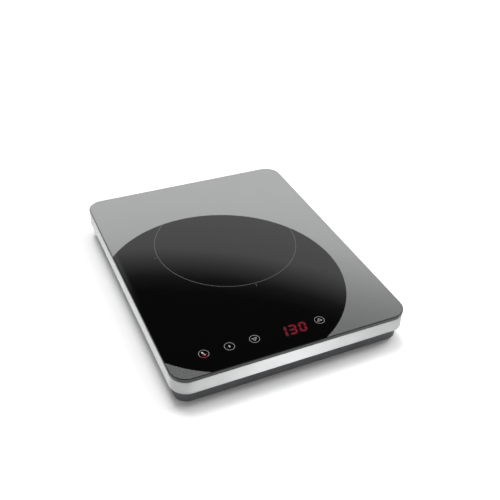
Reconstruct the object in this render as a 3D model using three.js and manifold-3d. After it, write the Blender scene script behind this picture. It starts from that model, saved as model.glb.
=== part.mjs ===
// Slim free-standing induction hob with one cooking zone.
//
// Millimetres. The origin is the centre of the footprint on the table top, X points right, Y points
// to the rear (the touch keys are at -Y) and Z points up.

import * as THREE from 'three';
import { mergeVertices } from 'three/addons/utils/BufferGeometryUtils.js';
import Module from 'manifold-3d';

const wasm = await Module();
wasm.setup();

const radians = THREE.MathUtils.degToRad;

// Point on a circle about a centre, in plan.
const polar = (centreX, centreY, radius, degrees) => [
  centreX + radius * Math.cos(radians(degrees)),
  centreY + radius * Math.sin(radians(degrees)),
];

// ---------------------------------------------------------------- driving dimensions

const WIDTH = 290;
const DEPTH = 365;
const HEIGHT = 44;
const CORNER_RADIUS = 20.5;
const GAP = 0.3;

// Stack of the casing, from the table up.
const FOOT_HEIGHT = 4;
const TRAY_INSET = 5;
const TRAY_WALL = 2;
const FRAME_BOTTOM = 21.9;
const FRAME_TOP = 38.8;
const FRAME_WALL = 2.2;
const GLASS_THICKNESS = 4;
const GLASS_BOTTOM = HEIGHT - GLASS_THICKNESS;
const TRAY_BOTTOM = FOOT_HEIGHT;
const FLOOR_TOP = TRAY_BOTTOM + TRAY_WALL;
const TRAY_TOP = FRAME_BOTTOM - GAP;

// Touch row printed on the glass, above the control board.
const KEY_ROW_Y = -153.4;
const KEY_X = [-101.2, -71.3, -41.2, 40.3];
const DISPLAY = { x: 5.1, y: KEY_ROW_Y - 2.3, width: 38, depth: 20, rim: 1.5, digitPitch: 12 };

// Coil stack, pressed against the underside of the glass.
const COIL_Y = 27;
const COIL_INNER_RADIUS = 25;
const COIL_OUTER_RADIUS = 84;
const COIL_TURNS = 9;
const MICA_TOP = GLASS_BOTTOM - GAP;
const MICA_THICKNESS = 0.7;
const WINDING_TOP = MICA_TOP - MICA_THICKNESS - GAP;
const WINDING_HEIGHT = 4;
const CARRIER_TOP = WINDING_TOP - WINDING_HEIGHT - GAP;
const CARRIER_THICKNESS = 2.7;
const CARRIER_BOTTOM = CARRIER_TOP - CARRIER_THICKNESS;
const FERRITE_HEIGHT = 3.2;
const FERRITE_TOP = CARRIER_BOTTOM - GAP;
const COIL_POST_ANGLES = [90, 210, 330];
const COIL_POST_REACH = 97;
const COIL_POSTS = COIL_POST_ANGLES.map((angle) => polar(0, COIL_Y, COIL_POST_REACH, angle));

// Cooling fan, lying flat over the intake grille.
const FAN_X = -72;
const FAN_Y = 92;
const FAN_SIZE = 84;
const FAN_BOTTOM = 7;
const FAN_TOP = 22;
const FAN_BORE_RADIUS = 39.5;
const FAN_SCREW_REACH = 36.5;
const FAN_EYES = [[-FAN_SCREW_REACH, FAN_SCREW_REACH], [FAN_SCREW_REACH, -FAN_SCREW_REACH]];
const FAN_SCREWS = FAN_EYES.map(([x, y]) => [FAN_X + x, FAN_Y + y]);
const ROTOR_RADIUS = 38.2;
const HUB_RADIUS = 16.5;
const BLADE_COUNT = 7;

// Circuit boards.
const BOARD_THICKNESS = 1.6;
const POWER_BOARD = { left: -32, right: 128, front: -128, rear: -46, bottom: 11 };
const POWER_BOARD_TOP = POWER_BOARD.bottom + BOARD_THICKNESS;
const ON_POWER_BOARD = POWER_BOARD_TOP + GAP;
const LEAD_END = ON_POWER_BOARD + 0.6;
const POWER_HOLES = [[-26, -122], [122, -122], [-26, -52], [122, -52]];
const CONTROL_BOARD = { left: -118, right: 62, front: -172, rear: -138, bottom: 30 };
const CONTROL_BOARD_TOP = CONTROL_BOARD.bottom + BOARD_THICKNESS;
const ON_CONTROL_BOARD = CONTROL_BOARD_TOP + GAP;
const CONTROL_HOLES = [[-113, -167], [57, -167], [-113, -143], [57, -143]];
const HEATSINK = { left: 48, right: 124, front: -119, rear: -67, bottom: 17.4, baseTop: 20.9, finTop: 32 };

// Middles of the components, in plan.
const PLACES = {
  powerTransistor: [70, -95],
  bridgeRectifier: [102, -95],
  filterCapacitor: [-9, -109],
  resonantCapacitor: [-5, -88],
  mainsChoke: [28, -105],
  supplyTransformer: [30, -78],
  mainsFuse: [-8, -70],
  terminalBlock: [32, -56],
  processor: [-86, -146],
  buzzer: [-24, -154],
};

// Fastening points of the casing.
const CASE_SCREWS = [[-130, -167.5], [130, -167.5], [-130, 0], [130, 0], [-130, 167.5], [130, 167.5]];
const FEET = {
  front_left: [-106, -152],
  front_right: [106, -152],
  rear_left: [-106, 152],
  rear_right: [106, 152],
};
const GLAND_X = 95;
const GLAND_Z = 14;
const GLAND_HOLE_RADIUS = 5.5;
const CORD_BORE_RADIUS = 3.6;

// ---------------------------------------------------------------- materials

const finish = (color, roughness, metalness) =>
  new THREE.MeshStandardMaterial({ color, roughness, metalness });

const MATERIALS = {
  glass: finish(0x101113, 0.08, 0.0),
  seal: finish(0x1b1b1c, 0.7, 0.0),
  satinMetal: finish(0xc4c6c8, 0.32, 1.0),
  casePlastic: finish(0x2a2b2d, 0.6, 0.0),
  rubber: finish(0x161617, 0.85, 0.0),
  screwSteel: finish(0x9a9ca0, 0.35, 1.0),
  copper: finish(0xb06a3c, 0.4, 0.9),
  carrier: finish(0xd8d4c8, 0.6, 0.0),
  ferrite: finish(0x3a3a3d, 0.55, 0.1),
  mica: finish(0xcfc7ae, 0.5, 0.0),
  silicone: finish(0xe6e2da, 0.6, 0.0),
  fanPlastic: finish(0x18191b, 0.5, 0.0),
  motor: finish(0x6d5138, 0.5, 0.5),
  board: finish(0x1d5a36, 0.5, 0.0),
  aluminium: finish(0xb9bcbf, 0.4, 1.0),
  component: finish(0x1c1d20, 0.5, 0.0),
  capacitor: finish(0xb9a03a, 0.5, 0.0),
  choke: finish(0xa8602f, 0.45, 0.7),
  transformer: finish(0xd8b83c, 0.55, 0.0),
  fuse: finish(0xd9dcdf, 0.2, 0.0),
  terminal: finish(0x2f6d4f, 0.5, 0.0),
  display: finish(0x1a0c0e, 0.35, 0.0),
  spring: finish(0xc8a85a, 0.3, 1.0),
  ribbon: finish(0x9c9fa4, 0.6, 0.0),
  leadRed: finish(0x9c2722, 0.55, 0.0),
  leadBlack: finish(0x1d1d1f, 0.55, 0.0),
};

// ---------------------------------------------------------------- shape helpers

function toSolid(geometry) {
  const bare = geometry.clone();
  bare.deleteAttribute('normal');
  bare.deleteAttribute('uv');
  const merged = mergeVertices(bare);
  const index = merged.index.array;
  const kept = [];
  for (let i = 0; i < index.length; i += 3) {
    const [a, b, c] = [index[i], index[i + 1], index[i + 2]];
    if (a !== b && b !== c && c !== a) kept.push(a, b, c);
  }
  return new wasm.Manifold(new wasm.Mesh({
    numProp: 3,
    vertProperties: new Float32Array(merged.attributes.position.array),
    triVerts: new Uint32Array(kept),
  }));
}

function toGeometry(manifold) {
  const mesh = manifold.getMesh();
  const geometry = new THREE.BufferGeometry();
  geometry.setAttribute('position', new THREE.BufferAttribute(new Float32Array(mesh.vertProperties), 3));
  geometry.setIndex(new THREE.BufferAttribute(new Uint32Array(mesh.triVerts), 1));
  geometry.computeVertexNormals();
  return geometry;
}

function join(...geometries) {
  return toGeometry(geometries.map(toSolid).reduce((whole, piece) => whole.add(piece)));
}

function cut(base, ...tools) {
  return toGeometry(tools.map(toSolid).reduce((whole, tool) => whole.subtract(tool), toSolid(base)));
}

function common(first, second) {
  return toGeometry(toSolid(first).intersect(toSolid(second)));
}

// Rounded rectangle about a centre.
function roundedOutline(width, depth, radius, x = 0, y = 0) {
  const right = width / 2 - radius;
  const rear = depth / 2 - radius;
  const shape = new THREE.Shape();
  shape.absarc(x + right, y + rear, radius, 0, Math.PI / 2);
  shape.absarc(x - right, y + rear, radius, Math.PI / 2, Math.PI);
  shape.absarc(x - right, y - rear, radius, Math.PI, Math.PI * 1.5);
  shape.absarc(x + right, y - rear, radius, Math.PI * 1.5, Math.PI * 2);
  return shape;
}

// Regular polygon about the origin, the section of a round wire.
function polygon(radius, sides) {
  const corners = [];
  for (let i = 0; i < sides; i += 1) {
    const angle = (i / sides) * Math.PI * 2;
    corners.push(new THREE.Vector2(radius * Math.cos(angle), radius * Math.sin(angle)));
  }
  return new THREE.Shape(corners);
}

// Rectangle about the origin from its half sizes.
function rectangle(halfX, halfY) {
  return new THREE.Shape([
    new THREE.Vector2(-halfX, -halfY),
    new THREE.Vector2(halfX, -halfY),
    new THREE.Vector2(halfX, halfY),
    new THREE.Vector2(-halfX, halfY),
  ]);
}

// Straight-sided slab of an outline between two heights.
function slab(shape, bottom, top, curveSegments = 4) {
  const settings = { depth: top - bottom, bevelEnabled: false, curveSegments };
  return new THREE.ExtrudeGeometry(shape, settings).translate(0, 0, bottom);
}

// Slab whose top and bottom edges are chamfered inside the outline.
function chamferedSlab(shape, bottom, top, chamfer, curveSegments = 4) {
  const settings = {
    depth: top - bottom - 2 * chamfer,
    bevelThickness: chamfer,
    bevelSize: chamfer,
    bevelOffset: -chamfer,
    bevelSegments: 1,
    curveSegments,
  };
  return new THREE.ExtrudeGeometry(shape, settings).translate(0, 0, bottom + chamfer);
}

function block(left, right, front, rear, bottom, top) {
  return new THREE.BoxGeometry(right - left, rear - front, top - bottom)
    .translate((left + right) / 2, (front + rear) / 2, (bottom + top) / 2);
}

function blockAt(x, y, sizeX, sizeY, bottom, top) {
  return block(x - sizeX / 2, x + sizeX / 2, y - sizeY / 2, y + sizeY / 2, bottom, top);
}

function rod(x, y, radius, bottom, top, sides = 16) {
  return new THREE.CylinderGeometry(radius, radius, top - bottom, sides)
    .rotateX(Math.PI / 2)
    .translate(x, y, (bottom + top) / 2);
}

// Rod along Y.
function rodAlongY(x, z, radius, front, rear, sides = 20) {
  return new THREE.CylinderGeometry(radius, radius, rear - front, sides).translate(x, (front + rear) / 2, z);
}

// Turned piece about a vertical axis; the profile lists [radius, height] from the bottom up.
function turned(profile, x = 0, y = 0, sides = 20) {
  const points = profile.map(([radius, height]) => new THREE.Vector2(radius, height));
  return new THREE.LatheGeometry(points, sides).rotateX(Math.PI / 2).translate(x, y, 0);
}

// Round wire along a smooth curve through hand-placed points.
function wire(points, radius, steps) {
  const path = new THREE.CatmullRomCurve3(points.map(([x, y, z]) => new THREE.Vector3(x, y, z)));
  return new THREE.ExtrudeGeometry(polygon(radius, 6), { steps, extrudePath: path, bevelEnabled: false });
}

// Curve whose steps are even in angle instead of length, so neighbouring turns stay parallel.
class AngularCurve extends THREE.Curve {
  constructor(pointAt) {
    super();
    this.pointAt = pointAt;
  }

  getPoint(t) {
    return this.pointAt(t);
  }

  getPointAt(t) {
    return this.getPoint(t);
  }

  getTangentAt(t) {
    return this.getTangent(t);
  }
}

// Pan-head screw, head down when flip is -1 and head up when it is 1, seated at seatZ.
function screw(x, y, seatZ, flip, { head, headHeight, shank, length }) {
  const profile = [
    [0, -length],
    [shank, -length],
    [shank, 0],
    [head, 0],
    [head, headHeight * 0.5],
    [head * 0.7, headHeight],
    [0, headHeight],
  ];
  const body = turned(profile, 0, 0, 8);
  const recess = blockAt(0, 0, head * 0.9, head * 0.28, headHeight * 0.45, headHeight + 1);
  const crossed = recess.clone().rotateZ(Math.PI / 2);
  const piece = cut(body, recess, crossed);
  if (flip < 0) piece.rotateX(Math.PI);
  return piece.translate(x, y, seatZ);
}

// ---------------------------------------------------------------- assembly

const hob = new THREE.Group();
hob.name = 'induction_hob';

function add(name, geometry, material) {
  const mesh = new THREE.Mesh(geometry, material);
  mesh.name = name;
  hob.add(mesh);
}

const outerOutline = () => roundedOutline(WIDTH, DEPTH, CORNER_RADIUS);
const insetOutline = (inset) => roundedOutline(
  WIDTH - 2 * inset,
  DEPTH - 2 * inset,
  Math.max(CORNER_RADIUS - inset, 4),
);

// ---------------------------------------------------------------- casing

// Glass-ceramic plate with chamfered edges, flush with the metal band below it.
function glassPlate() {
  return chamferedSlab(outerOutline(), GLASS_BOTTOM, HEIGHT, 0.6, 6);
}

// Silicone bead between the band's ledge and the glass.
function glassSeal() {
  const bead = slab(insetOutline(0.4), FRAME_TOP + 0.1, GLASS_BOTTOM - 0.1);
  return cut(bead, slab(insetOutline(9), FRAME_TOP - 1, GLASS_BOTTOM + 1));
}

// Metal band: a web with an inward ledge at the top for the glass and one at the bottom for the tray.
function sideFrame() {
  const topLedge = 12;
  const bottomLedge = 8.5;
  const ledgeThickness = 1.8;
  const band = cut(
    chamferedSlab(outerOutline(), FRAME_BOTTOM, FRAME_TOP, 0.5, 5),
    slab(insetOutline(topLedge), FRAME_BOTTOM - 1, FRAME_TOP + 1),
    slab(insetOutline(FRAME_WALL), FRAME_BOTTOM + ledgeThickness, FRAME_TOP - ledgeThickness),
    slab(insetOutline(bottomLedge), FRAME_BOTTOM - 1, FRAME_BOTTOM + ledgeThickness + 1),
  );
  const lugs = CASE_SCREWS.map(([x, y]) => rod(x, y, 7, FRAME_BOTTOM, FRAME_BOTTOM + 2.2, 10));
  const bores = CASE_SCREWS.map(([x, y]) => rod(x, y, 1.9, FRAME_BOTTOM - 1, FRAME_BOTTOM + 4, 8));
  return cut(join(band, ...lugs), ...bores);
}

// Parallel intake slots in a round field under the fan.
function intakeSlots() {
  const pitch = 6;
  const slotWidth = 3;
  const fieldRadius = 37;
  const rib = 3;
  const slots = [];
  for (let row = -6; row <= 6; row += 1) {
    const y = FAN_Y + row * pitch;
    const reach = Math.sqrt(fieldRadius ** 2 - (row * pitch) ** 2);
    if (reach < 8) continue;
    for (const side of [-1, 1]) {
      const middle = FAN_X + side * (rib / 2 + (reach - rib / 2) / 2);
      slots.push(blockAt(middle, y, reach - rib / 2, slotWidth, TRAY_BOTTOM - 1, FLOOR_TOP + 1));
    }
  }
  return slots;
}

// Upright exhaust slots through the rear wall and both side walls.
function exhaustSlots() {
  const pitch = 8;
  const slotWidth = 3.6;
  const [low, high] = [9, 18];
  const wallX = WIDTH / 2 - TRAY_INSET;
  const wallY = DEPTH / 2 - TRAY_INSET;
  const slots = [];
  for (let i = 0; i < 12; i += 1) {
    const x = -60 + i * pitch;
    slots.push(blockAt(x, wallY - 1, slotWidth, 8, low, high));
  }
  for (let i = 0; i < 8; i += 1) {
    const y = -105 + i * pitch;
    slots.push(blockAt(wallX - 1, y, 8, slotWidth, low, high));
    slots.push(blockAt(-wallX + 1, y + 150, 8, slotWidth, low, high));
  }
  return slots;
}

// Moulded bottom shell with its screw towers, board posts, vents and cord hole.
function baseTray() {
  const width = WIDTH - 2 * TRAY_INSET;
  const depth = DEPTH - 2 * TRAY_INSET;
  const radius = CORNER_RADIUS - TRAY_INSET;
  const rough = chamferedSlab(roundedOutline(width, depth, radius), TRAY_BOTTOM, TRAY_TOP + 8, 2);
  const trimmed = common(rough, blockAt(0, 0, WIDTH, DEPTH, TRAY_BOTTOM - 1, TRAY_TOP));
  const hollow = roundedOutline(width - 2 * TRAY_WALL, depth - 2 * TRAY_WALL, radius - TRAY_WALL);
  const shell = cut(trimmed, slab(hollow, FLOOR_TOP, TRAY_TOP + 2));

  const towers = CASE_SCREWS.map(([x, y]) => rod(x, y, 5, FLOOR_TOP - 1, TRAY_TOP, 10));
  const powerPosts = POWER_HOLES.map(([x, y]) => rod(x, y, 3.4, FLOOR_TOP - 1, POWER_BOARD.bottom - GAP, 8));
  const controlTop = CONTROL_BOARD.bottom - GAP;
  const controlPosts = CONTROL_HOLES.map(([x, y]) => rod(x, y, 3, FLOOR_TOP - 1, controlTop, 8));
  const controlPegs = CONTROL_HOLES.map(([x, y]) => rod(x, y, 1.3, 20, CONTROL_BOARD_TOP + 1, 6));
  const coilPosts = COIL_POSTS.map(([x, y]) => rod(x, y, 4, FLOOR_TOP - 1, CARRIER_BOTTOM - GAP, 10));
  const fanPosts = FAN_SCREWS.map(([x, y]) => rod(x, y, 3.6, FLOOR_TOP - 1, FAN_BOTTOM - GAP, 10));

  const tools = [
    ...CASE_SCREWS.map(([x, y]) => rod(x, y, 2, TRAY_BOTTOM - 1, TRAY_TOP + 1, 8)),
    ...CASE_SCREWS.map(([x, y]) => rod(x, y, 3.9, TRAY_BOTTOM - 1, TRAY_BOTTOM + 3, 12)),
    ...POWER_HOLES.map(([x, y]) => rod(x, y, 1.6, FLOOR_TOP + 0.5, POWER_BOARD.bottom + 1, 6)),
    ...COIL_POSTS.map(([x, y]) => rod(x, y, 1.6, CARRIER_BOTTOM - 12, CARRIER_BOTTOM + 1, 6)),
    ...FAN_SCREWS.map(([x, y]) => rod(x, y, 1.6, TRAY_BOTTOM + 0.5, FAN_BOTTOM + 1, 6)),
    ...Object.values(FEET).map(([x, y]) => rod(x, y, 3, TRAY_BOTTOM - 1, FLOOR_TOP + 1, 12)),
    ...intakeSlots(),
    ...exhaustSlots(),
    rodAlongY(GLAND_X, GLAND_Z, GLAND_HOLE_RADIUS, DEPTH / 2 - 12, DEPTH / 2),
  ];
  return cut(
    join(shell, ...towers, ...powerPosts, ...controlPosts, ...controlPegs, ...coilPosts, ...fanPosts),
    ...tools,
  );
}

// Push-in rubber foot: a soft pad with a barbed stem through the tray floor.
function foot(x, y) {
  return turned([
    [0, 0],
    [8.2, 0],
    [9.5, 0.9],
    [10, TRAY_BOTTOM - GAP],
    [2.6, TRAY_BOTTOM - GAP],
    [2.6, FLOOR_TOP + GAP],
    [3.7, FLOOR_TOP + GAP],
    [0, FLOOR_TOP + 2.4],
  ], x, y, 12);
}

// ---------------------------------------------------------------- coil unit

// Flat spiral of flattened litz wire.
function coilWinding() {
  const pitch = (COIL_OUTER_RADIUS - COIL_INNER_RADIUS) / (COIL_TURNS + 1);
  const stepsPerTurn = 16;
  const wireWidth = pitch - 0.7;
  const middle = WINDING_TOP - WINDING_HEIGHT / 2;
  const path = new AngularCurve((t) => {
    const radius = COIL_INNER_RADIUS + pitch * (0.5 + t * COIL_TURNS);
    const angle = t * COIL_TURNS * Math.PI * 2 - Math.PI / 2;
    return new THREE.Vector3(radius * Math.cos(angle), COIL_Y + radius * Math.sin(angle), middle);
  });
  const [halfWidth, halfHeight] = [wireWidth / 2, WINDING_HEIGHT / 2];
  const frames = path.computeFrenetFrames(1);
  const upIsX = Math.abs(frames.normals[0].z) > 0.5;
  const [a, b] = upIsX ? [halfHeight, halfWidth] : [halfWidth, halfHeight];
  return new THREE.ExtrudeGeometry(rectangle(a, b), {
    steps: COIL_TURNS * stepsPerTurn,
    extrudePath: path,
    bevelEnabled: false,
  });
}

// Moulded disc that carries the winding; wedge windows let cooling air through.
function coilCarrier() {
  const rim = COIL_OUTER_RADIUS + 2;
  const disc = slab(ringSector(0, rim, 0, 360), CARRIER_BOTTOM, CARRIER_TOP, 20);
  disc.translate(0, COIL_Y, 0);
  const lugs = COIL_POST_ANGLES.map((angle) => {
    const reach = COIL_POST_REACH;
    const arm = block(rim - 6, reach, -5, 5, CARRIER_BOTTOM, CARRIER_TOP);
    const eye = rod(reach, 0, 5, CARRIER_BOTTOM, CARRIER_TOP, 12);
    return join(arm, eye).rotateZ(radians(angle)).translate(0, COIL_Y, 0);
  });
  const windows = [30, 90, 150, 210, 270, 330].map((angle) => {
    const inner = angle === 270 ? 18 : 32;
    return slab(ringSector(inner, 78, angle - 17, angle + 17), CARRIER_BOTTOM - 1, CARRIER_TOP + 1, 3)
      .translate(0, COIL_Y, 0);
  });
  const eyes = COIL_POSTS.map(([x, y]) => rod(x, y, 1.9, CARRIER_BOTTOM - 1, CARRIER_TOP + 1, 12));
  const middle = rod(0, COIL_Y, 9.6, CARRIER_BOTTOM - 1, CARRIER_TOP + 1, 24);
  return cut(join(disc, ...lugs), ...windows, ...eyes, middle);
}

// Sector of a ring about the origin, or a full disc when the inner radius is zero.
function ringSector(inner, outer, fromDegrees, toDegrees) {
  const shape = new THREE.Shape();
  shape.absarc(0, 0, outer, radians(fromDegrees), radians(toDegrees), false);
  if (inner > 0) shape.absarc(0, 0, inner, radians(toDegrees), radians(fromDegrees), true);
  return shape;
}

// Ferrite bar under one arm of the carrier.
function ferriteBar(degrees) {
  const bar = block(30, 82, -6, 6, FERRITE_TOP - FERRITE_HEIGHT, FERRITE_TOP);
  return bar.rotateZ(radians(degrees)).translate(0, COIL_Y, 0);
}

// Mica disc that insulates the winding from the glass.
function micaSheet() {
  const sheet = rod(0, COIL_Y, 90, MICA_TOP - MICA_THICKNESS, MICA_TOP, 40);
  return cut(sheet, rod(0, COIL_Y, 9.8, MICA_TOP - 3, MICA_TOP + 3, 24));
}

// Temperature sensor in its silicone cap, with its tail to the power board.
function panSensor() {
  const cap = turned([
    [0, CARRIER_BOTTOM - 4],
    [5, CARRIER_BOTTOM - 4],
    [5, CARRIER_BOTTOM - 1.6],
    [12, CARRIER_BOTTOM - 1.6],
    [12, CARRIER_BOTTOM - GAP],
    [9.2, CARRIER_BOTTOM - GAP],
    [9.2, MICA_TOP - 1],
    [8.2, MICA_TOP],
    [0, MICA_TOP],
  ], 0, COIL_Y, 24);
  const tail = wire([
    [2, COIL_Y, CARRIER_BOTTOM - 3],
    [4, COIL_Y - 3, CARRIER_BOTTOM - 6],
    [12, COIL_Y - 24, 24],
    [16, COIL_Y - 55, 23],
    [16, -40, 20],
    [14, -48, 15],
    [14, -50, LEAD_END],
  ], 0.9, 18);
  return join(cap, tail);
}

// ---------------------------------------------------------------- fan

function fanFrame() {
  const shell = cut(
    slab(roundedOutline(FAN_SIZE, FAN_SIZE, 6), FAN_BOTTOM, FAN_TOP, 2),
    rod(0, 0, FAN_BORE_RADIUS, FAN_BOTTOM - 1, FAN_TOP + 1, 36),
  );
  const motorPlate = rod(0, 0, 15, FAN_BOTTOM, FAN_BOTTOM + 2, 24);
  const bearingTube = rod(0, 0, 3.6, FAN_BOTTOM, FAN_BOTTOM + 10, 16);
  const struts = [60, 180, 300].map((angle) => (
    block(10, FAN_BORE_RADIUS + 1, -2, 2, FAN_BOTTOM, FAN_BOTTOM + 2).rotateZ(radians(angle))
  ));
  const bore = rod(0, 0, 1.6, FAN_BOTTOM + 1, FAN_BOTTOM + 12, 12);
  const eyes = FAN_EYES.map(([x, y]) => rod(x, y, 1.9, FAN_BOTTOM - 1, FAN_TOP + 1, 12));
  return cut(join(shell, motorPlate, bearingTube, ...struts), bore, ...eyes).translate(FAN_X, FAN_Y, 0);
}

// Wound four-pole stator pressed over the bearing tube.
function fanStator() {
  const bottom = FAN_BOTTOM + 2 + GAP;
  const ring = rod(0, 0, 7, bottom + 1.5, bottom + 6.5, 20);
  const poles = [0, 90, 180, 270].map((angle) => {
    const coil = block(6, 10.8, -3, 3, bottom, bottom + 8);
    const shoe = block(10.4, 12.6, -5, 5, bottom + 1.5, bottom + 6.5);
    return join(coil, shoe).rotateZ(radians(angle));
  });
  return cut(join(ring, ...poles), rod(0, 0, 3.9, bottom - 1, bottom + 10, 16)).translate(FAN_X, FAN_Y, 0);
}

// Rotor: a cup hub open at the bottom, its shaft and a ring of pitched blades.
function fanRotor() {
  const bottom = FAN_BOTTOM + 3;
  const top = FAN_TOP - 1;
  const hub = turned([
    [0, top - 1.6],
    [HUB_RADIUS - 1.6, top - 1.6],
    [HUB_RADIUS - 1.6, bottom],
    [HUB_RADIUS, bottom],
    [HUB_RADIUS, top - 1],
    [HUB_RADIUS - 1, top],
    [0, top],
  ], 0, 0, 22);
  const shaft = rod(0, 0, 1.25, bottom + 1, top - 1, 12);
  const blades = [];
  for (let i = 0; i < BLADE_COUNT; i += 1) {
    blades.push(fanBlade(bottom + 0.6, top - 0.6).rotateZ((i / BLADE_COUNT) * Math.PI * 2));
  }
  const sweep = rod(0, 0, ROTOR_RADIUS, bottom, top, 48);
  const trimmed = blades.map((blade) => common(blade, sweep));
  return join(hub, shaft, ...trimmed).translate(FAN_X, FAN_Y, 0);
}

// Cambered blade reaching out along +X between two heights.
function fanBlade(bottom, top) {
  const thickness = 1.3;
  const run = 17;
  const section = new THREE.Shape();
  section.moveTo(-run / 2, bottom);
  section.quadraticCurveTo(run * 0.12, bottom + (top - bottom) * 0.3, run / 2, top);
  section.lineTo(run / 2 - thickness, top);
  section.quadraticCurveTo(run * 0.02, bottom + (top - bottom) * 0.42, -run / 2, bottom + thickness);
  const reach = ROTOR_RADIUS + 4 - (HUB_RADIUS - 1);
  const blade = new THREE.ExtrudeGeometry(section, { depth: reach, bevelEnabled: false, curveSegments: 4 });
  // The section lies in X-Y and grows along Z: turn it so it grows along X and stands in Y-Z.
  return blade.rotateX(Math.PI / 2).rotateZ(Math.PI / 2).translate(HUB_RADIUS - 1, 0, 0);
}

// ---------------------------------------------------------------- boards and components

function board({ left, right, front, rear, bottom }, holes, holeRadius) {
  const outline = roundedOutline(right - left, rear - front, 2, (left + right) / 2, (front + rear) / 2);
  const sheet = slab(outline, bottom, bottom + BOARD_THICKNESS, 2);
  return cut(sheet, ...holes.map(([x, y]) => rod(x, y, holeRadius, bottom - 1, bottom + 3, 12)));
}

// Control board with its processor package soldered on.
function controlBoard() {
  const sheet = board(CONTROL_BOARD, CONTROL_HOLES, 1.7);
  const [x, y] = PLACES.processor;
  return join(sheet, blockAt(x, y, 12, 12, CONTROL_BOARD_TOP - 0.2, CONTROL_BOARD_TOP + 1.4));
}

// Finned extrusion over the power semiconductors.
function heatsink() {
  const { left, right, front, rear, bottom, baseTop, finTop } = HEATSINK;
  const fins = 8;
  const finWidth = 2.2;
  const pitch = (rear - front - finWidth) / (fins - 1);
  const profile = new THREE.Shape();
  profile.moveTo(front, bottom);
  profile.lineTo(rear, bottom);
  for (let fin = fins - 1; fin >= 0; fin -= 1) {
    const start = front + fin * pitch;
    if (fin < fins - 1) profile.lineTo(start + finWidth, baseTop);
    profile.lineTo(start + finWidth, finTop);
    profile.lineTo(start, finTop);
    if (fin > 0) profile.lineTo(start, baseTop);
  }
  const extrusion = new THREE.ExtrudeGeometry(profile, { depth: right - left, bevelEnabled: false });
  return extrusion.rotateX(Math.PI / 2).rotateZ(Math.PI / 2).translate(left, 0, 0);
}

// Flat power package with its row of legs, lying between the board and the heatsink.
function powerPackage(x, y, sizeX, sizeY, legs) {
  const body = blockAt(x, y, sizeX, sizeY, ON_POWER_BOARD + 0.2, HEATSINK.bottom - GAP);
  const legPieces = [];
  for (let i = 0; i < legs; i += 1) {
    const legX = x + (i - (legs - 1) / 2) * (sizeX * 0.7 / (legs - 1));
    legPieces.push(blockAt(legX, y + sizeY / 2 + 2, 1.4, 6, ON_POWER_BOARD + 1.2, ON_POWER_BOARD + 2));
    legPieces.push(blockAt(legX, y + sizeY / 2 + 4.4, 1.4, 1.2, ON_POWER_BOARD, ON_POWER_BOARD + 2));
  }
  return join(body, ...legPieces);
}

// Box film capacitor with softened upright edges.
function filmCapacitor(x, y, sizeX, sizeY, height) {
  return chamferedSlab(
    roundedOutline(sizeX, sizeY, 1.2, x, y),
    ON_POWER_BOARD,
    ON_POWER_BOARD + height,
    0.8,
    2,
  );
}

// Toroidal mains choke, lying flat: a square-section core with its two half windings.
function mainsChoke(x, y) {
  const [inner, outer, height] = [6.5, 14, 9];
  const wireSize = 1.1;
  const base = ON_POWER_BOARD + wireSize;
  const core = cut(
    rod(0, 0, outer, base, base + height, 24),
    rod(0, 0, inner, base - 1, base + height + 1, 16),
  );
  const turns = [-60, -36, -12, 12, 36, 60, 120, 144, 168, 192, 216, 240].map((angle) => (
    block(inner - wireSize, outer + wireSize, -0.9, 0.9, base - wireSize, base + height + wireSize)
      .rotateZ(radians(angle))
  ));
  return join(core, ...turns).translate(x, y, 0);
}

// Ferrite-cored supply transformer: bobbin, tape-wrapped winding and core limbs.
function supplyTransformer(x, y) {
  const base = ON_POWER_BOARD;
  return join(
    blockAt(x, y, 20, 18, base, base + 4),
    blockAt(x, y, 13, 15, base + 3, base + 14),
    blockAt(x, y, 20, 6, base + 3.5, base + 16),
    blockAt(x, y, 17, 17, base + 13, base + 15),
  );
}

// Glass fuse in two spring clips.
function mainsFuse(x, y) {
  const axisZ = ON_POWER_BOARD + 4;
  const tube = rod(0, 0, 2.5, -10, 10, 14).rotateY(Math.PI / 2).translate(x, y, axisZ);
  const clips = [-7.5, 7.5].map((offset) => blockAt(x + offset, y, 3, 6.4, ON_POWER_BOARD, axisZ + 1));
  return join(tube, ...clips);
}

// Three-way screw terminal for the mains conductors.
function terminalBlock(x, y) {
  const base = ON_POWER_BOARD;
  const body = blockAt(x, y, 24, 10, base, base + 11);
  const tools = [-8, 0, 8].flatMap((offset) => [
    rod(x + offset, y, 2.2, base + 7, base + 12, 12),
    blockAt(x + offset, y + 4, 4.4, 6, base + 1.4, base + 5.4),
  ]);
  return cut(body, ...tools);
}

// Three-digit LED display block under the glass.
function displayModule() {
  const { x, y, width, depth, rim, digitPitch } = DISPLAY;
  const top = GLASS_BOTTOM - GAP;
  const inside = depth - 2 * rim;
  const body = blockAt(x, y, width, depth, ON_CONTROL_BOARD, top);
  const recess = blockAt(x, y, width - 2 * rim, inside, top - 0.6, top + 1);
  const ribs = [-0.5, 0.5].map((side) => (
    blockAt(x + side * digitPitch, y, 0.8, inside + 0.4, top - 1, top - 0.1)
  ));
  return join(cut(body, recess), ...ribs);
}

// Piezo buzzer with its sound hole.
function buzzer(x, y) {
  const body = rod(x, y, 5, ON_CONTROL_BOARD, ON_CONTROL_BOARD + 5.6, 20);
  return cut(body, rod(x, y, 1, ON_CONTROL_BOARD + 3, ON_CONTROL_BOARD + 7, 10));
}

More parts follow.
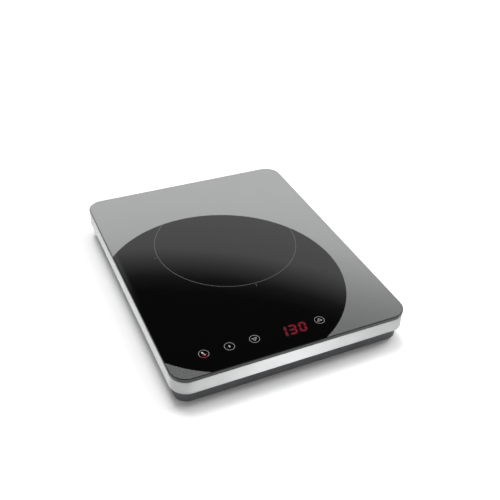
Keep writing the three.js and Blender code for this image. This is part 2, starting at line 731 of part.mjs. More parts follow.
// Conical contact spring that carries a key's touch field from the glass to the board.
function touchSpring(x, y) {
  const turns = 3.5;
  const bottom = ON_CONTROL_BOARD + 0.5;
  const top = GLASS_BOTTOM - GAP - 0.5;
  const path = new AngularCurve((t) => {
    const radius = 3 + 1.8 * t;
    const angle = t * turns * Math.PI * 2;
    return new THREE.Vector3(
      x + radius * Math.cos(angle),
      y + radius * Math.sin(angle),
      bottom + (top - bottom) * t,
    );
  });
  return new THREE.ExtrudeGeometry(polygon(0.4, 5), {
    steps: turns * 8,
    extrudePath: path,
    bevelEnabled: false,
  });
}

// Flat cable in an S between the two boards, with a plug on each end.
function ribbonCable() {
  const x = 30;
  const width = 14;
  const thickness = 0.9;
  const upper = CONTROL_BOARD.bottom - GAP;
  const [topZ, lowZ] = [upper - 4, ON_POWER_BOARD + 5];
  const [startY, endY] = [-143, -123];
  const path = new THREE.CatmullRomCurve3([
    new THREE.Vector3(x, startY, topZ + 1),
    new THREE.Vector3(x, startY, topZ - 2),
    new THREE.Vector3(x, startY + 3, topZ - 6),
    new THREE.Vector3(x, startY + 9, topZ - 7),
    new THREE.Vector3(x, endY - 4, topZ - 3.5),
    new THREE.Vector3(x, endY - 0.4, lowZ + 3),
    new THREE.Vector3(x, endY, lowZ - 1),
  ]);
  const alongX = Math.abs(path.computeFrenetFrames(1).normals[0].x) > 0.5;
  const [a, b] = alongX ? [width / 2, thickness / 2] : [thickness / 2, width / 2];
  const sweep = { steps: 24, extrudePath: path, bevelEnabled: false };
  const band = new THREE.ExtrudeGeometry(rectangle(a, b), sweep);
  const upperPlug = blockAt(x, startY, width + 2, 5, topZ, upper);
  const lowerPlug = blockAt(x, endY, width + 2, 5, ON_POWER_BOARD, lowZ);
  return join(band, upperPlug, lowerPlug);
}

// ---------------------------------------------------------------- cord gland and leads

// Bushing through the rear wall, with the bore that the supply cord would fill.
function cordGland() {
  const wallOutside = TRAY_WALL / 2 + GAP;
  const neck = GLAND_HOLE_RADIUS - GAP;
  const profile = [
    [CORD_BORE_RADIUS, -9],
    [neck, -9],
    [neck, wallOutside],
    [neck + 2.3, wallOutside],
    [neck + 2.3, wallOutside + 1.8],
    [neck + 0.6, wallOutside + 3.4],
    [CORD_BORE_RADIUS, wallOutside + 3.4],
    [CORD_BORE_RADIUS, -9],
  ];
  return turned(profile, 0, 0, 20)
    .rotateX(-Math.PI / 2)
    .translate(GLAND_X, DEPTH / 2 - TRAY_INSET - TRAY_WALL / 2, GLAND_Z);
}

// Hexagonal nut that clamps the bushing from inside.
function glandNut() {
  const inside = -TRAY_WALL / 2 - GAP;
  const nut = cut(
    rod(0, 0, 7.5, inside - 4.5, inside, 6),
    rod(0, 0, GLAND_HOLE_RADIUS, inside - 6, inside + 1, 20),
  );
  return nut.rotateX(-Math.PI / 2).translate(GLAND_X, DEPTH / 2 - TRAY_INSET - TRAY_WALL / 2, GLAND_Z);
}

// Lead from the winding's inner end, down through the carrier and forward to the board.
function innerCoilLead() {
  return wire([
    [0, COIL_Y - 21, WINDING_TOP - 1],
    [0, COIL_Y - 21, CARRIER_BOTTOM - 1],
    [1, COIL_Y - 26, CARRIER_BOTTOM - 5],
    [4, COIL_Y - 50, 24],
    [7, -44, 23],
    [8, -57, 19],
    [8, -60, LEAD_END],
  ], 1.6, 18);
}

// Lead from the winding's outer end, over the carrier's rim and down to the board.
function outerCoilLead() {
  const middle = WINDING_TOP - WINDING_HEIGHT / 2;
  return wire([
    [-20, COIL_Y - 84, middle],
    [-22, COIL_Y - 89, middle - 0.5],
    [-24, COIL_Y - 93, middle - 5],
    [-24.5, COIL_Y - 93, 24],
    [-25, -66, LEAD_END],
  ], 1.6, 12);
}

// Lead from the fan's corner along the floor to the board.
function fanLead() {
  return wire([
    [-40, FAN_Y - FAN_SIZE / 2 - GAP, 12],
    [-41, 43, 11],
    [-46, 30, 8.4],
    [-48, -10, 8],
    [-45, -50, 8.2],
    [-40, -70, 11],
    [-34, -78, 17],
    [-28, -79, 17],
    [-27, -79, LEAD_END],
  ], 1.2, 26);
}

// ---------------------------------------------------------------- scene graph

const CASE_SCREW = { head: 3.5, headHeight: 2.2, shank: 1.55, length: 18.5 };
const SMALL_SCREW = { head: 2.9, headHeight: 1.9, shank: 1.3, length: 5 };
const COIL_SCREW = { head: 3.4, headHeight: 1.9, shank: 1.3, length: 10 };
const FAN_SCREW = { head: 2.9, headHeight: 1.9, shank: 1.3, length: FAN_TOP - TRAY_BOTTOM - 1 };

add('glass_plate', glassPlate(), MATERIALS.glass);
add('glass_seal', glassSeal(), MATERIALS.seal);
add('side_frame', sideFrame(), MATERIALS.satinMetal);
add('base_tray', baseTray(), MATERIALS.casePlastic);
for (const [corner, [x, y]] of Object.entries(FEET)) {
  add(`foot_${corner}`, foot(x, y), MATERIALS.rubber);
}
CASE_SCREWS.forEach(([x, y], i) => {
  add(`case_screw_${i + 1}`, screw(x, y, TRAY_BOTTOM + 3 - GAP, -1, CASE_SCREW), MATERIALS.screwSteel);
});

add('mica_sheet', micaSheet(), MATERIALS.mica);
add('coil_winding', coilWinding(), MATERIALS.copper);
add('coil_carrier', coilCarrier(), MATERIALS.carrier);
[0, 60, 120, 180, 240, 300].forEach((angle, i) => {
  add(`ferrite_bar_${i + 1}`, ferriteBar(angle), MATERIALS.ferrite);
});
add('pan_sensor', panSensor(), MATERIALS.silicone);
COIL_POSTS.forEach(([x, y], i) => {
  add(`coil_screw_${i + 1}`, screw(x, y, CARRIER_TOP + GAP, 1, COIL_SCREW), MATERIALS.screwSteel);
});
add('coil_lead_inner', innerCoilLead(), MATERIALS.leadRed);
add('coil_lead_outer', outerCoilLead(), MATERIALS.leadRed);

add('fan_frame', fanFrame(), MATERIALS.fanPlastic);
add('fan_stator', fanStator(), MATERIALS.motor);
add('fan_rotor', fanRotor(), MATERIALS.fanPlastic);
FAN_SCREWS.forEach(([x, y], i) => {
  add(`fan_screw_${i + 1}`, screw(x, y, FAN_TOP + GAP, 1, FAN_SCREW), MATERIALS.screwSteel);
});
add('fan_lead', fanLead(), MATERIALS.leadBlack);

add('power_board', board(POWER_BOARD, POWER_HOLES, 1.7), MATERIALS.board);
POWER_HOLES.forEach(([x, y], i) => {
  add(`board_screw_${i + 1}`, screw(x, y, POWER_BOARD_TOP + GAP, 1, SMALL_SCREW), MATERIALS.screwSteel);
});
add('heatsink', heatsink(), MATERIALS.aluminium);
add('power_transistor', powerPackage(...PLACES.powerTransistor, 16, 21, 3), MATERIALS.component);
add('bridge_rectifier', powerPackage(...PLACES.bridgeRectifier, 30, 20, 4), MATERIALS.component);
add('filter_capacitor', filmCapacitor(...PLACES.filterCapacitor, 32, 18, 22), MATERIALS.capacitor);
add('resonant_capacitor', filmCapacitor(...PLACES.resonantCapacitor, 32, 14, 19), MATERIALS.capacitor);
add('mains_choke', mainsChoke(...PLACES.mainsChoke), MATERIALS.choke);
add('supply_transformer', supplyTransformer(...PLACES.supplyTransformer), MATERIALS.transformer);
add('mains_fuse', mainsFuse(...PLACES.mainsFuse), MATERIALS.fuse);
add('terminal_block', terminalBlock(...PLACES.terminalBlock), MATERIALS.terminal);

add('control_board', controlBoard(), MATERIALS.board);
add('display_module', displayModule(), MATERIALS.display);
add('buzzer', buzzer(...PLACES.buzzer), MATERIALS.component);
KEY_X.forEach((x, i) => {
  add(`touch_spring_${i + 1}`, touchSpring(x, KEY_ROW_Y), MATERIALS.spring);
});
add('ribbon_cable', ribbonCable(), MATERIALS.ribbon);
add('cord_gland', cordGland(), MATERIALS.fanPlastic);
add('gland_nut', glandNut(), MATERIALS.fanPlastic);

export default hob;
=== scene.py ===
"""Looks of a slim induction hob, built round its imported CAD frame.

The frame is in metres: X to the right, Y to the rear, Z up, with the origin on the table under the
middle of the casing. Shapes are drawn in millimetres and scaled once, when they become an object.
"""

import math

import bmesh
import bpy
from mathutils import Matrix, Quaternion, Vector
from mathutils.geometry import delaunay_2d_cdt


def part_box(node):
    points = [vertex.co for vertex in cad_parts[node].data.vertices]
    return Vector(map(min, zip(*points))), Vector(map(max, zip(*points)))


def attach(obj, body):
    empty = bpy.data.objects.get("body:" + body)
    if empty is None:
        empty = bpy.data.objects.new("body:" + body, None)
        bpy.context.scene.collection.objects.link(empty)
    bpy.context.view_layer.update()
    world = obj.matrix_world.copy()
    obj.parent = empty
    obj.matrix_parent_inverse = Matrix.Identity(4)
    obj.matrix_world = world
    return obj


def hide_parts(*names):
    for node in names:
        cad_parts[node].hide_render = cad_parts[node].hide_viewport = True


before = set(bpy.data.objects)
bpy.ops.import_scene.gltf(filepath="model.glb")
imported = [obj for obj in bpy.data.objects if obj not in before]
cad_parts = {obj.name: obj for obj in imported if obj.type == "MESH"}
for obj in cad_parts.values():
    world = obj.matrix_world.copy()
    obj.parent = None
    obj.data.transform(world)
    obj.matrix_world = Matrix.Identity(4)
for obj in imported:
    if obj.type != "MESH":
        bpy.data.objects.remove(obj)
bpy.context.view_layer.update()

MM = 0.001


# ------------------------------------------------------------------ measures, in millimetres

def corners(node):
    """Lowest and highest corner of a CAD node."""
    low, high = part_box(node)
    return low / MM, high / MM


def middle(node):
    low, high = corners(node)
    return (low + high) / 2


GLASS_LOW, GLASS_HIGH = corners("glass_plate")
BAND_LOW, BAND_HIGH = corners("side_frame")
TRAY_LOW, TRAY_HIGH = corners("base_tray")
SEAL_LOW, SEAL_HIGH = corners("glass_seal")
WIDTH = GLASS_HIGH.x - GLASS_LOW.x
DEPTH = GLASS_HIGH.y - GLASS_LOW.y
CORNER_RADIUS = 20.5
GAP = 0.3
TRAY_INSET = TRAY_LOW.x - GLASS_LOW.x
TRAY_WALL = 2.0
TRAY_RIM = BAND_LOW.z - GAP
FLOOR_TOP = TRAY_LOW.z + TRAY_WALL

COIL = middle("mica_sheet")
FAN = middle("fan_frame")
KEYS = [middle(f"touch_spring_{i}") for i in range(1, 5)]
DISPLAY = middle("display_module")
CASE_SCREWS = [middle(f"case_screw_{i}") for i in range(1, 7)]
FEET = [f"foot_{corner}" for corner in ("front_left", "front_right", "rear_left", "rear_right")]

PRINT_THICKNESS = 0.03
PRINT_LOW = GLASS_HIGH.z + 0.005
PRINT_HIGH = GLASS_HIGH.z + PRINT_THICKNESS
BLACK_DISC_CENTRE = (-34.8, -50.55)
BLACK_DISC_RADIUS = 147.9
ZONE_RADIUS = 92.0

FAN_BORE = 39.5
FAN_SCREW_REACH = 36.5
FAN_BLADES = 7
SHAFT_RADIUS = 1.25
GLAND_NECK = 5.2


# ------------------------------------------------------------------ materials

class Finish:
    """A Principled material with short ways to add procedural detail. Sizes are in millimetres."""

    def __init__(self, name, colour, roughness, metallic=0.0, **constants):
        self.material = bpy.data.materials.new(name)
        self.material.use_nodes = True
        self.tree = self.material.node_tree
        self.shader = self.tree.nodes["Principled BSDF"]
        self.colour = colour
        self.roughness = roughness
        self.shader.inputs["Base Color"].default_value = (*colour, 1.0)
        self.shader.inputs["Roughness"].default_value = roughness
        self.shader.inputs["Metallic"].default_value = metallic
        for socket, value in constants.items():
            self.shader.inputs[socket.replace("_", " ")].default_value = value
        self.relief = None

    def node(self, kind, inputs=None, **settings):
        made = self.tree.nodes.new("ShaderNode" + kind)
        for key, value in settings.items():
            setattr(made, key, value)
        for key, value in (inputs or {}).items():
            if isinstance(value, bpy.types.NodeSocket):
                self.tree.links.new(value, made.inputs[key])
            else:
                made.inputs[key].default_value = value
        return made

    def place(self, stretch=(1, 1, 1), source="Object"):
        coordinates = self.node("TexCoord")
        mapping = self.node("Mapping", {"Vector": coordinates.outputs[source], "Scale": stretch})
        return mapping.outputs["Vector"]

    def noise(self, size, detail=3.0, stretch=(1, 1, 1), source="Object", distortion=0.0):
        settings = {
            "Vector": self.place(stretch, source),
            "Scale": 1 / (size * MM),
            "Detail": detail,
            "Distortion": distortion,
        }
        return self.node("TexNoise", settings).outputs["Fac"]

    def cells(self, size, output="Distance", stretch=(1, 1, 1), source="Object", **settings):
        inputs = {"Vector": self.place(stretch, source), "Scale": 1 / (size * MM)}
        return self.node("TexVoronoi", inputs, **settings).outputs[output]

    def spread(self, value, low, high, from_low=0.3, from_high=0.7):
        inputs = {"Value": value, "From Min": from_low, "From Max": from_high, "To Min": low, "To Max": high}
        return self.node("MapRange", inputs, clamp=True).outputs["Result"]

    def blend(self, factor, first, second):
        """Colour between two colours; either can be a socket."""
        made = self.node("Mix", data_type="RGBA")
        for index, value in ((6, first), (7, second)):
            if isinstance(value, bpy.types.NodeSocket):
                self.tree.links.new(value, made.inputs[index])
            else:
                made.inputs[index].default_value = (*value, 1.0)
        self.tree.links.new(factor, made.inputs[0])
        return made.outputs[2]

    def shades(self, value, low, high, *span):
        """From one shade of the material's colour to another as a value rises."""
        factor = self.spread(value, 0, 1, *span)
        return self.blend(factor, shaded(self.colour, low), shaded(self.colour, high))

    def paint(self, colour_socket):
        self.tree.links.new(colour_socket, self.shader.inputs["Base Color"])

    def shine(self, value, low, high, *span):
        """Roughness from low to high as a value rises."""
        self.tree.links.new(self.spread(value, low, high, *span), self.shader.inputs["Roughness"])

    def emboss(self, height, depth, strength=1.0):
        """Adds relief of that depth on top of the relief already there."""
        inputs = {"Height": height, "Distance": depth * MM, "Strength": strength}
        if self.relief is not None:
            inputs["Normal"] = self.relief
        self.relief = self.node("Bump", inputs).outputs["Normal"]
        self.tree.links.new(self.relief, self.shader.inputs["Normal"])


def shaded(colour, factor):
    return tuple(min(1.0, channel * factor) for channel in colour)


def moulded(name, colour, roughness, grain=0.35, depth=0.02, mottle=0.15, **constants):
    """Moulded or rubbery surface: fine spark-eroded grain, slow colour drift and uneven gloss."""
    made = Finish(name, colour, roughness, **constants)
    drift = made.noise(22, detail=4)
    grain_noise = made.noise(grain, detail=2)
    slow = made.shades(drift, 1 - mottle, 1 + mottle)
    made.paint(made.blend(made.spread(grain_noise, 0, 0.35), slow, shaded(colour, 1 - 2 * mottle)))
    made.shine(made.noise(9, detail=5), roughness - 0.06, roughness + 0.08)
    made.emboss(grain_noise, depth, 0.6)
    return made.material


def bare_metal(name, colour, roughness, grain=(1, 1, 1), size=0.3, depth=0.004, source="Object"):
    """Metal with a directional grain, cloudy gloss and a few fine scratches."""
    made = Finish(name, colour, roughness, metallic=1.0)
    lines = made.noise(size, detail=3, stretch=grain, source=source)
    cloud = made.noise(14, detail=4)
    made.paint(made.shades(cloud, 0.93, 1.05))
    made.shine(lines, roughness - 0.05, roughness + 0.07)
    scratch = made.noise(1.6, detail=2, stretch=(1, 14, 1), distortion=0.6)
    made.emboss(lines, depth, 0.5)
    made.emboss(made.spread(scratch, 0, 1, 0.68, 0.7), depth, 0.15)
    return made.material


def black_glass():
    """Glass-ceramic over black print: deep, glossy, with faint wipe marks."""
    colour = (0.0011, 0.0011, 0.0013)
    made = Finish("glass_black", colour, 0.05, IOR=1.5)
    wipe = made.noise(38, detail=5, stretch=(1, 2.6, 1), distortion=1.2)
    made.shine(wipe, 0.03, 0.075)
    dust = made.cells(7, feature="F1")
    speck = made.spread(dust, 1, 0, 0.015, 0.03)
    made.paint(made.blend(speck, colour, (0.012, 0.012, 0.013)))
    made.emboss(made.noise(60, detail=1), 0.02, 0.12)
    return made.material


def ground_glass_edge():
    """Ground and seamed rim of the plate, a little duller than its face."""
    made = Finish("glass_edge", (0.008, 0.0085, 0.009), 0.15, IOR=1.5)
    grind = made.noise(0.25, detail=3, stretch=(1, 1, 4))
    made.paint(made.blend(made.spread(grind, 0, 1), (0.006, 0.0065, 0.007), (0.012, 0.013, 0.0135)))
    made.shine(made.noise(3, detail=4), 0.12, 0.22)
    made.emboss(grind, 0.006, 0.5)
    return made.material


def grey_print():
    """Metallic grey ceramic print with fine flake, under the same gloss as the glass."""
    colour = (0.335, 0.338, 0.341)
    made = Finish("print_grey", colour, 0.175, metallic=0.74, Coat_Weight=1.0, Coat_Roughness=0.04)
    flake = made.cells(0.22, output="Color", feature="F1")
    value = made.node("SeparateColor", {"Color": flake}).outputs["Red"]
    sparkle = made.shades(value, 0.92, 1.07, 0, 1)
    cloud = made.spread(made.noise(45, detail=3), 0, 0.25)
    made.paint(made.blend(cloud, sparkle, shaded(colour, 0.88)))
    made.shine(value, 0.145, 0.21, 0, 1)
    return made.material


def screen_ink(name, colour):
    """Screen-printed ink, a little broken along its edges."""
    made = Finish(name, colour, 0.3, Coat_Weight=0.5, Coat_Roughness=0.08)
    screen = made.cells(0.16, feature="F1")
    made.paint(made.shades(screen, 1.12, 0.72, 0.1, 0.6))
    made.shine(made.noise(1.2), 0.24, 0.4)
    return made.material


def zone_ink():
    """Dark grey ink of the cooking-zone mark."""
    colour = (0.055, 0.056, 0.058)
    made = Finish("print_zone", colour, 0.25, Coat_Weight=0.6, Coat_Roughness=0.06)
    screen = made.cells(0.3, feature="F1")
    made.paint(made.shades(screen, 1.2, 0.7, 0.1, 0.6))
    made.shine(made.noise(2.5), 0.2, 0.34)
    return made.material


def lit_segment(name, colour, strength):
    """Lit LED segment seen through the dark glass, brightest over its dies; the led_halo finish made with it
    is painted glow round the digits, not a lamp.
    """
    made = Finish(name, shaded(colour, 0.2), 0.2, Emission_Strength=strength)
    glow = made.noise(2.4, detail=1)
    lit = made.blend(made.spread(glow, 0, 1), shaded(colour, 0.72), colour)
    made.tree.links.new(lit, made.shader.inputs["Emission Color"])
    made.shine(made.noise(1.5), 0.15, 0.3)
    return made.material


def satin_band():
    """Satin aluminium band with a fine grain that runs along it."""
    colour = (0.585, 0.589, 0.593)
    made = Finish("band_metal", colour, 0.56, metallic=1.0, Anisotropic=0.92, Anisotropic_Rotation=0.25)
    direction = made.node("Tangent", direction_type="UV_MAP")
    made.tree.links.new(direction.outputs["Tangent"], made.shader.inputs["Tangent"])
    grain = made.noise(0.12, detail=2, stretch=(0.008, 1, 1), source="UV")
    cloud = made.noise(18, detail=4)
    made.paint(made.shades(cloud, 0.95, 1.03))
    made.shine(grain, 0.50, 0.62)
    made.emboss(grain, 0.003, 0.35)
    return made.material


def stranded_copper(name, colour, lay, strand):
    """Enamelled strands twisted round a bundle; lay is the pitch of the twist along it. The grooves between
    strands carry painted shade and the crests a painted highlight.
    """
    made = Finish(name, colour, 0.34, metallic=0.85, Coat_Weight=0.4, Coat_Roughness=0.15)
    waves = made.node("TexWave", {
        "Vector": made.place((1 / (lay * MM), 1 / (strand * MM), 1), "UV"),
        "Scale": 1.0,
        "Distortion": 0.4,
        "Detail": 1.0,
    }, wave_type="BANDS", bands_direction="DIAGONAL")
    strands = waves.outputs["Fac"]
    # painted shade and highlight: darker in the grooves between strands, lighter on their crests, following
    # the bump bands
    made.paint(made.blend(strands, shaded(colour, 0.45), shaded(colour, 1.2)))
    made.shine(made.noise(4, detail=4), 0.28, 0.45)
    made.emboss(strands, 0.08, 0.8)
    return made.material


def circuit_board():
    """Green solder mask over copper tracks, with tinned pads."""
    mask, track, pad = (0.010, 0.075, 0.035), (0.022, 0.14, 0.060), (0.62, 0.62, 0.58)
    made = Finish("circuit_board", mask, 0.3)
    walls = made.cells(5.2, feature="DISTANCE_TO_EDGE", stretch=(1, 1, 0))
    tracks = made.spread(walls, 1, 0, 0.035, 0.06)
    dots = made.cells(3.3, feature="F1", distance="CHEBYCHEV", stretch=(1, 1, 0))
    pads = made.spread(dots, 1, 0, 0.10, 0.13)
    made.paint(made.blend(pads, made.blend(tracks, mask, track), pad))
    made.shine(made.noise(6, detail=3), 0.24, 0.4)
    made.emboss(tracks, 0.035, 0.6)
    made.emboss(pads, 0.05, 0.6)
    return made.material


def banded(name, colour, other, pitch, roughness, direction="Z", depth=0.05):
    """Wound or wrapped surface: close parallel bands, with the darker colour painted into the grooves between
    them as shade.
    """
    made = Finish(name, colour, roughness)
    waves = made.node("TexWave", {
        "Vector": made.place(),
        "Scale": 0.314 / (pitch * MM),
        "Distortion": 0.6,
        "Detail Scale": 2.0,
    }, wave_type="BANDS", bands_direction=direction)
    # painted shade: the darker colour falls in the low grooves of the bump, between turns
    made.paint(made.blend(waves.outputs["Fac"], other, colour))
    made.shine(made.noise(5, detail=3), roughness - 0.06, roughness + 0.08)
    made.emboss(waves.outputs["Fac"], depth, 0.7)
    return made.material


def layered_mica():
    """Pressed mica paper: pearly flakes in a pale binder."""
    colour = (0.60, 0.55, 0.42)
    made = Finish("mica", colour, 0.42, Sheen_Weight=0.1)
    flakes = made.cells(2.2, output="Color", feature="F1", stretch=(1, 1.6, 1))
    value = made.node("SeparateColor", {"Color": flakes}).outputs["Green"]
    made.paint(made.shades(value, 0.8, 1.15, 0, 1))
    made.shine(value, 0.28, 0.6, 0, 1)
    made.emboss(made.noise(1.1, detail=4), 0.02, 0.5)
    return made.material


def clear_glass():
    """Fuse tube glass with a fine haze."""
    made = Finish("fuse_glass", (0.86, 0.88, 0.88), 0.06, Transmission_Weight=0.85, IOR=1.47)
    haze = made.noise(3, detail=3)
    made.paint(made.blend(made.spread(haze, 0, 1), (0.80, 0.83, 0.83), (0.9, 0.91, 0.91)))
    made.shine(haze, 0.04, 0.12)
    return made.material


FINISHES = {
    "glass_black": black_glass(),
    "glass_edge": ground_glass_edge(),
    "print_grey": grey_print(),
    "print_pale": screen_ink("print_pale", (0.27, 0.275, 0.275)),
    "print_white": screen_ink("print_white", (0.50, 0.505, 0.50)),
    "print_zone": zone_ink(),
    "led_red": lit_segment("led_red", (0.26, 0.010, 0.030), 1.0),
    # led_halo: painted glow of the LED light in the glass round the digits, not a lamp
    "led_halo": lit_segment("led_halo", (0.06, 0.0008, 0.004), 1.0),
    "lamp_red": lit_segment("lamp_red", (0.20, 0.022, 0.045), 1.0),
    "lamp_white": lit_segment("lamp_white", (0.85, 0.83, 0.80), 1.0),
    "seal": moulded("seal_silicone", (0.010, 0.010, 0.011), 0.62, grain=0.5, depth=0.01),
    "band": satin_band(),
    "case": moulded("case_plastic", (0.036, 0.037, 0.039), 0.52, grain=0.42, depth=0.03),
    "rubber": moulded("foot_rubber", (0.022, 0.022, 0.023), 0.78, grain=0.6, depth=0.04, mottle=0.25),
    "zinc": bare_metal("screw_zinc", (0.60, 0.61, 0.63), 0.30, size=0.5),
    "mica": layered_mica(),
    "litz": stranded_copper("copper_litz", (0.66, 0.30, 0.14), lay=9.0, strand=1.3),
    "carrier": moulded("carrier_resin", (0.60, 0.57, 0.49), 0.55, grain=0.8, depth=0.03, mottle=0.07),
    "ferrite": moulded("ferrite", (0.055, 0.055, 0.060), 0.45, grain=0.25, depth=0.03),
    "silicone": moulded("sensor_silicone", (0.72, 0.69, 0.63), 0.5, grain=1.5, depth=0.01, mottle=0.05),
    "lead_red": moulded("lead_red", (0.42, 0.035, 0.03), 0.42, grain=1.2, depth=0.02, mottle=0.1),
    "lead_black": moulded("lead_black", (0.025, 0.025, 0.026), 0.42, grain=1.2, depth=0.02),
    "fan": moulded("fan_plastic", (0.024, 0.024, 0.026), 0.40, grain=0.9, depth=0.01),
    # in the banded finishes the second colour is painted shade for the grooves between turns
    "motor": banded("motor_winding", (0.46, 0.21, 0.09), (0.16, 0.06, 0.03), 0.45, 0.35),
    "board": circuit_board(),
    "heatsink": bare_metal("heatsink_metal", (0.74, 0.75, 0.76), 0.36, grain=(0.03, 1, 1), size=0.25),
    "epoxy": moulded("component_epoxy", (0.024, 0.024, 0.026), 0.5, grain=0.2, depth=0.02),
    "film_box": moulded("capacitor_box", (0.56, 0.42, 0.07), 0.34, grain=0.8, depth=0.01, mottle=0.06),
    "choke": banded("choke_winding", (0.60, 0.26, 0.10), (0.24, 0.09, 0.04), 0.9, 0.3, "X"),
    "core": moulded("choke_core", (0.16, 0.22, 0.12), 0.5, grain=0.7, depth=0.03),
    "tape": banded("transformer_tape", (0.72, 0.55, 0.08), (0.56, 0.41, 0.05), 1.8, 0.4),
    "fuse": clear_glass(),
    "terminal": moulded("terminal_plastic", (0.03, 0.20, 0.10), 0.45, grain=0.6, depth=0.02),
    "display": moulded("display_block", (0.035, 0.012, 0.014), 0.3, grain=0.9, depth=0.01),
    "spring": bare_metal("spring_metal", (0.78, 0.62, 0.30), 0.24, size=0.4),
    "ribbon": banded("ribbon_grey", (0.42, 0.43, 0.45), (0.20, 0.21, 0.22), 1.27, 0.5, "X"),
    "nylon": moulded("gland_nylon", (0.022, 0.022, 0.024), 0.4, grain=1.0, depth=0.01),
}


# ------------------------------------------------------------------ helpers, in millimetres

def scene_object(name, data):
    made = bpy.data.objects.new(name, data)
    bpy.context.scene.collection.objects.link(made)
    return made


def turned(angle, axis="Z"):
    """Rotation by an angle in degrees."""
    return Matrix.Rotation(math.radians(angle), 4, axis)


def polar(centre, radius, angle, z=0.0):
    """Point on a level circle about a centre."""
    return Vector((centre[0] + radius * math.cos(angle), centre[1] + radius * math.sin(angle), z))


def rounded_rectangle(size_x, size_y, radius, z=0.0, centre=(0.0, 0.0), segments=14):
    """Outline with round corners, anticlockwise from above."""
    points = []
    for side_x, side_y, quarter in ((1, 1, 0), (-1, 1, 1), (-1, -1, 2), (1, -1, 3)):
        corner = (centre[0] + side_x * (size_x / 2 - radius), centre[1] + side_y * (size_y / 2 - radius))
        for step in range(segments + 1):
            points.append(polar(corner, radius, (quarter + step / segments) * math.pi / 2, z))
    return points


def footprint(inset, z):
    """Outline of the hob drawn in by inset."""
    return rounded_rectangle(WIDTH - 2 * inset, DEPTH - 2 * inset, CORNER_RADIUS - inset, z)


def circle(radius, z=0.0, centre=(0.0, 0.0), segments=48):
    return [polar(centre, radius, 2 * math.pi * i / segments, z) for i in range(segments)]


def round_wire(radius, sides=10):
    """Section of a round wire, as (side, up) offsets."""
    return [tuple(point.to_2d()) for point in circle(radius, segments=sides)]


def quarter_round(inset_from, z_from, inset_to, z_to, steps=5, hollow=False):
    """Profile points of a quarter arc between two (inset, z) points, first point left out."""
    points = []
    for step in range(1, steps + 1):
        angle = step / steps * math.pi / 2
        near, far = math.sin(angle), 1 - math.cos(angle)
        if hollow:
            near, far = 1 - math.cos(angle), math.sin(angle)
        points.append((inset_from + (inset_to - inset_from) * near, z_from + (z_to - z_from) * far))
    return points


def chamfered(start, end, low, high, edge):
    """Section of a bar between two insets or radii, with its four corners cut off."""
    return [(start + edge, low), (start, low + edge), (start, high - edge), (start + edge, high),
            (end - edge, high), (end, high - edge), (end, low + edge), (end - edge, low)]


def skin(bm, loops, closed=False, capped=True, material=0):
    """Joins matching closed loops with quads; closed joins the last loop to the first."""
    uv = bm.loops.layers.uv.verify()
    rings = [[bm.verts.new(point) for point in loop] for loop in loops]
    count = len(loops[0])
    along = [0.0]
    for i in range(count):
        along.append(along[-1] + (loops[0][(i + 1) % count] - loops[0][i]).length * MM)
    across = [0.0]
    for first, second in zip(loops, loops[1:] + loops[:1]):
        across.append(across[-1] + (second[0] - first[0]).length * MM)
    spans = len(rings) if closed else len(rings) - 1
    for row in range(spans):
        lower, upper = rings[row], rings[(row + 1) % len(rings)]
        for i in range(count):
            j = (i + 1) % count
            face = bm.faces.new((lower[i], lower[j], upper[j], upper[i]))
            face.material_index = material
            places = ((i, row), (i + 1, row), (i + 1, row + 1), (i, row + 1))
            for corner, (u, v) in zip(face.loops, places):
                corner[uv].uv = (along[u], across[v])
    if capped and not closed:
        for ring in (list(reversed(rings[0])), rings[-1]):
            bm.faces.new(ring).material_index = material
    return rings


def prism(bm, outline, bottom, top, matrix=None, material=0):
    """Straight block on an outline of (x, y) points."""
    loops = [[Vector((p[0], p[1], z)) for p in outline] for z in (bottom, top)]
    if matrix is not None:
        loops = [[matrix @ point for point in loop] for loop in loops]
    return skin(bm, loops, material=material)


def peg(bm, place, radius, bottom, top, segments=24):
    """Upright cylinder."""
    prism(bm, circle(radius, 0, place, segments), bottom, top)


def box(bm, low, high, matrix=None):
    outline = [(low[0], low[1]), (high[0], low[1]), (high[0], high[1]), (low[0], high[1])]
    return prism(bm, outline, low[2], high[2], matrix)


def stadium(length, width, centre=(0.0, 0.0), segments=8):
    """Slot outline with round ends, long along X."""
    return rounded_rectangle(length, width, width / 2 - 0.01, 0.0, centre, segments)


def lathe(bm, profile, centre=(0.0, 0.0), segments=48, closed=False, material=0):
    """Turned shape about a vertical axis from (radius, z) points."""
    loops = [circle(radius, z, centre, segments) for radius, z in profile]
    return skin(bm, loops, closed=closed, material=material)


def sweep(bm, path, section):
    """Tube along a path; section(step) gives the (side, up) offsets of the ring at that step."""
    tangents = []
    for i in range(len(path)):
        ahead, behind = path[min(i + 1, len(path) - 1)], path[max(i - 1, 0)]
        tangents.append((ahead - behind).normalized())
    up = Vector((0, 0, 1)) if abs(tangents[0].z) < 0.9 else Vector((1, 0, 0))
    loops = []
    for step, (point, tangent) in enumerate(zip(path, tangents)):
        side = tangent.cross(up).normalized()
        up = side.cross(tangent).normalized()
        loops.append([point + side * a + up * b for a, b in section(step)])
    return skin(bm, loops)


def lying_along_y(centre):
    """Turns a shape drawn upright about the origin to lie along Y, keeping its heights as Y."""
    return Matrix.Translation((centre.x, 0, centre.z)) @ turned(-90, "X")


def temporary(bm):
    """Object for a boolean operation, still in millimetres."""
    bmesh.ops.recalc_face_normals(bm, faces=bm.faces)
    mesh = bpy.data.meshes.new("rough")
    bm.to_mesh(mesh)
    bm.free()
    return scene_object("rough", mesh)


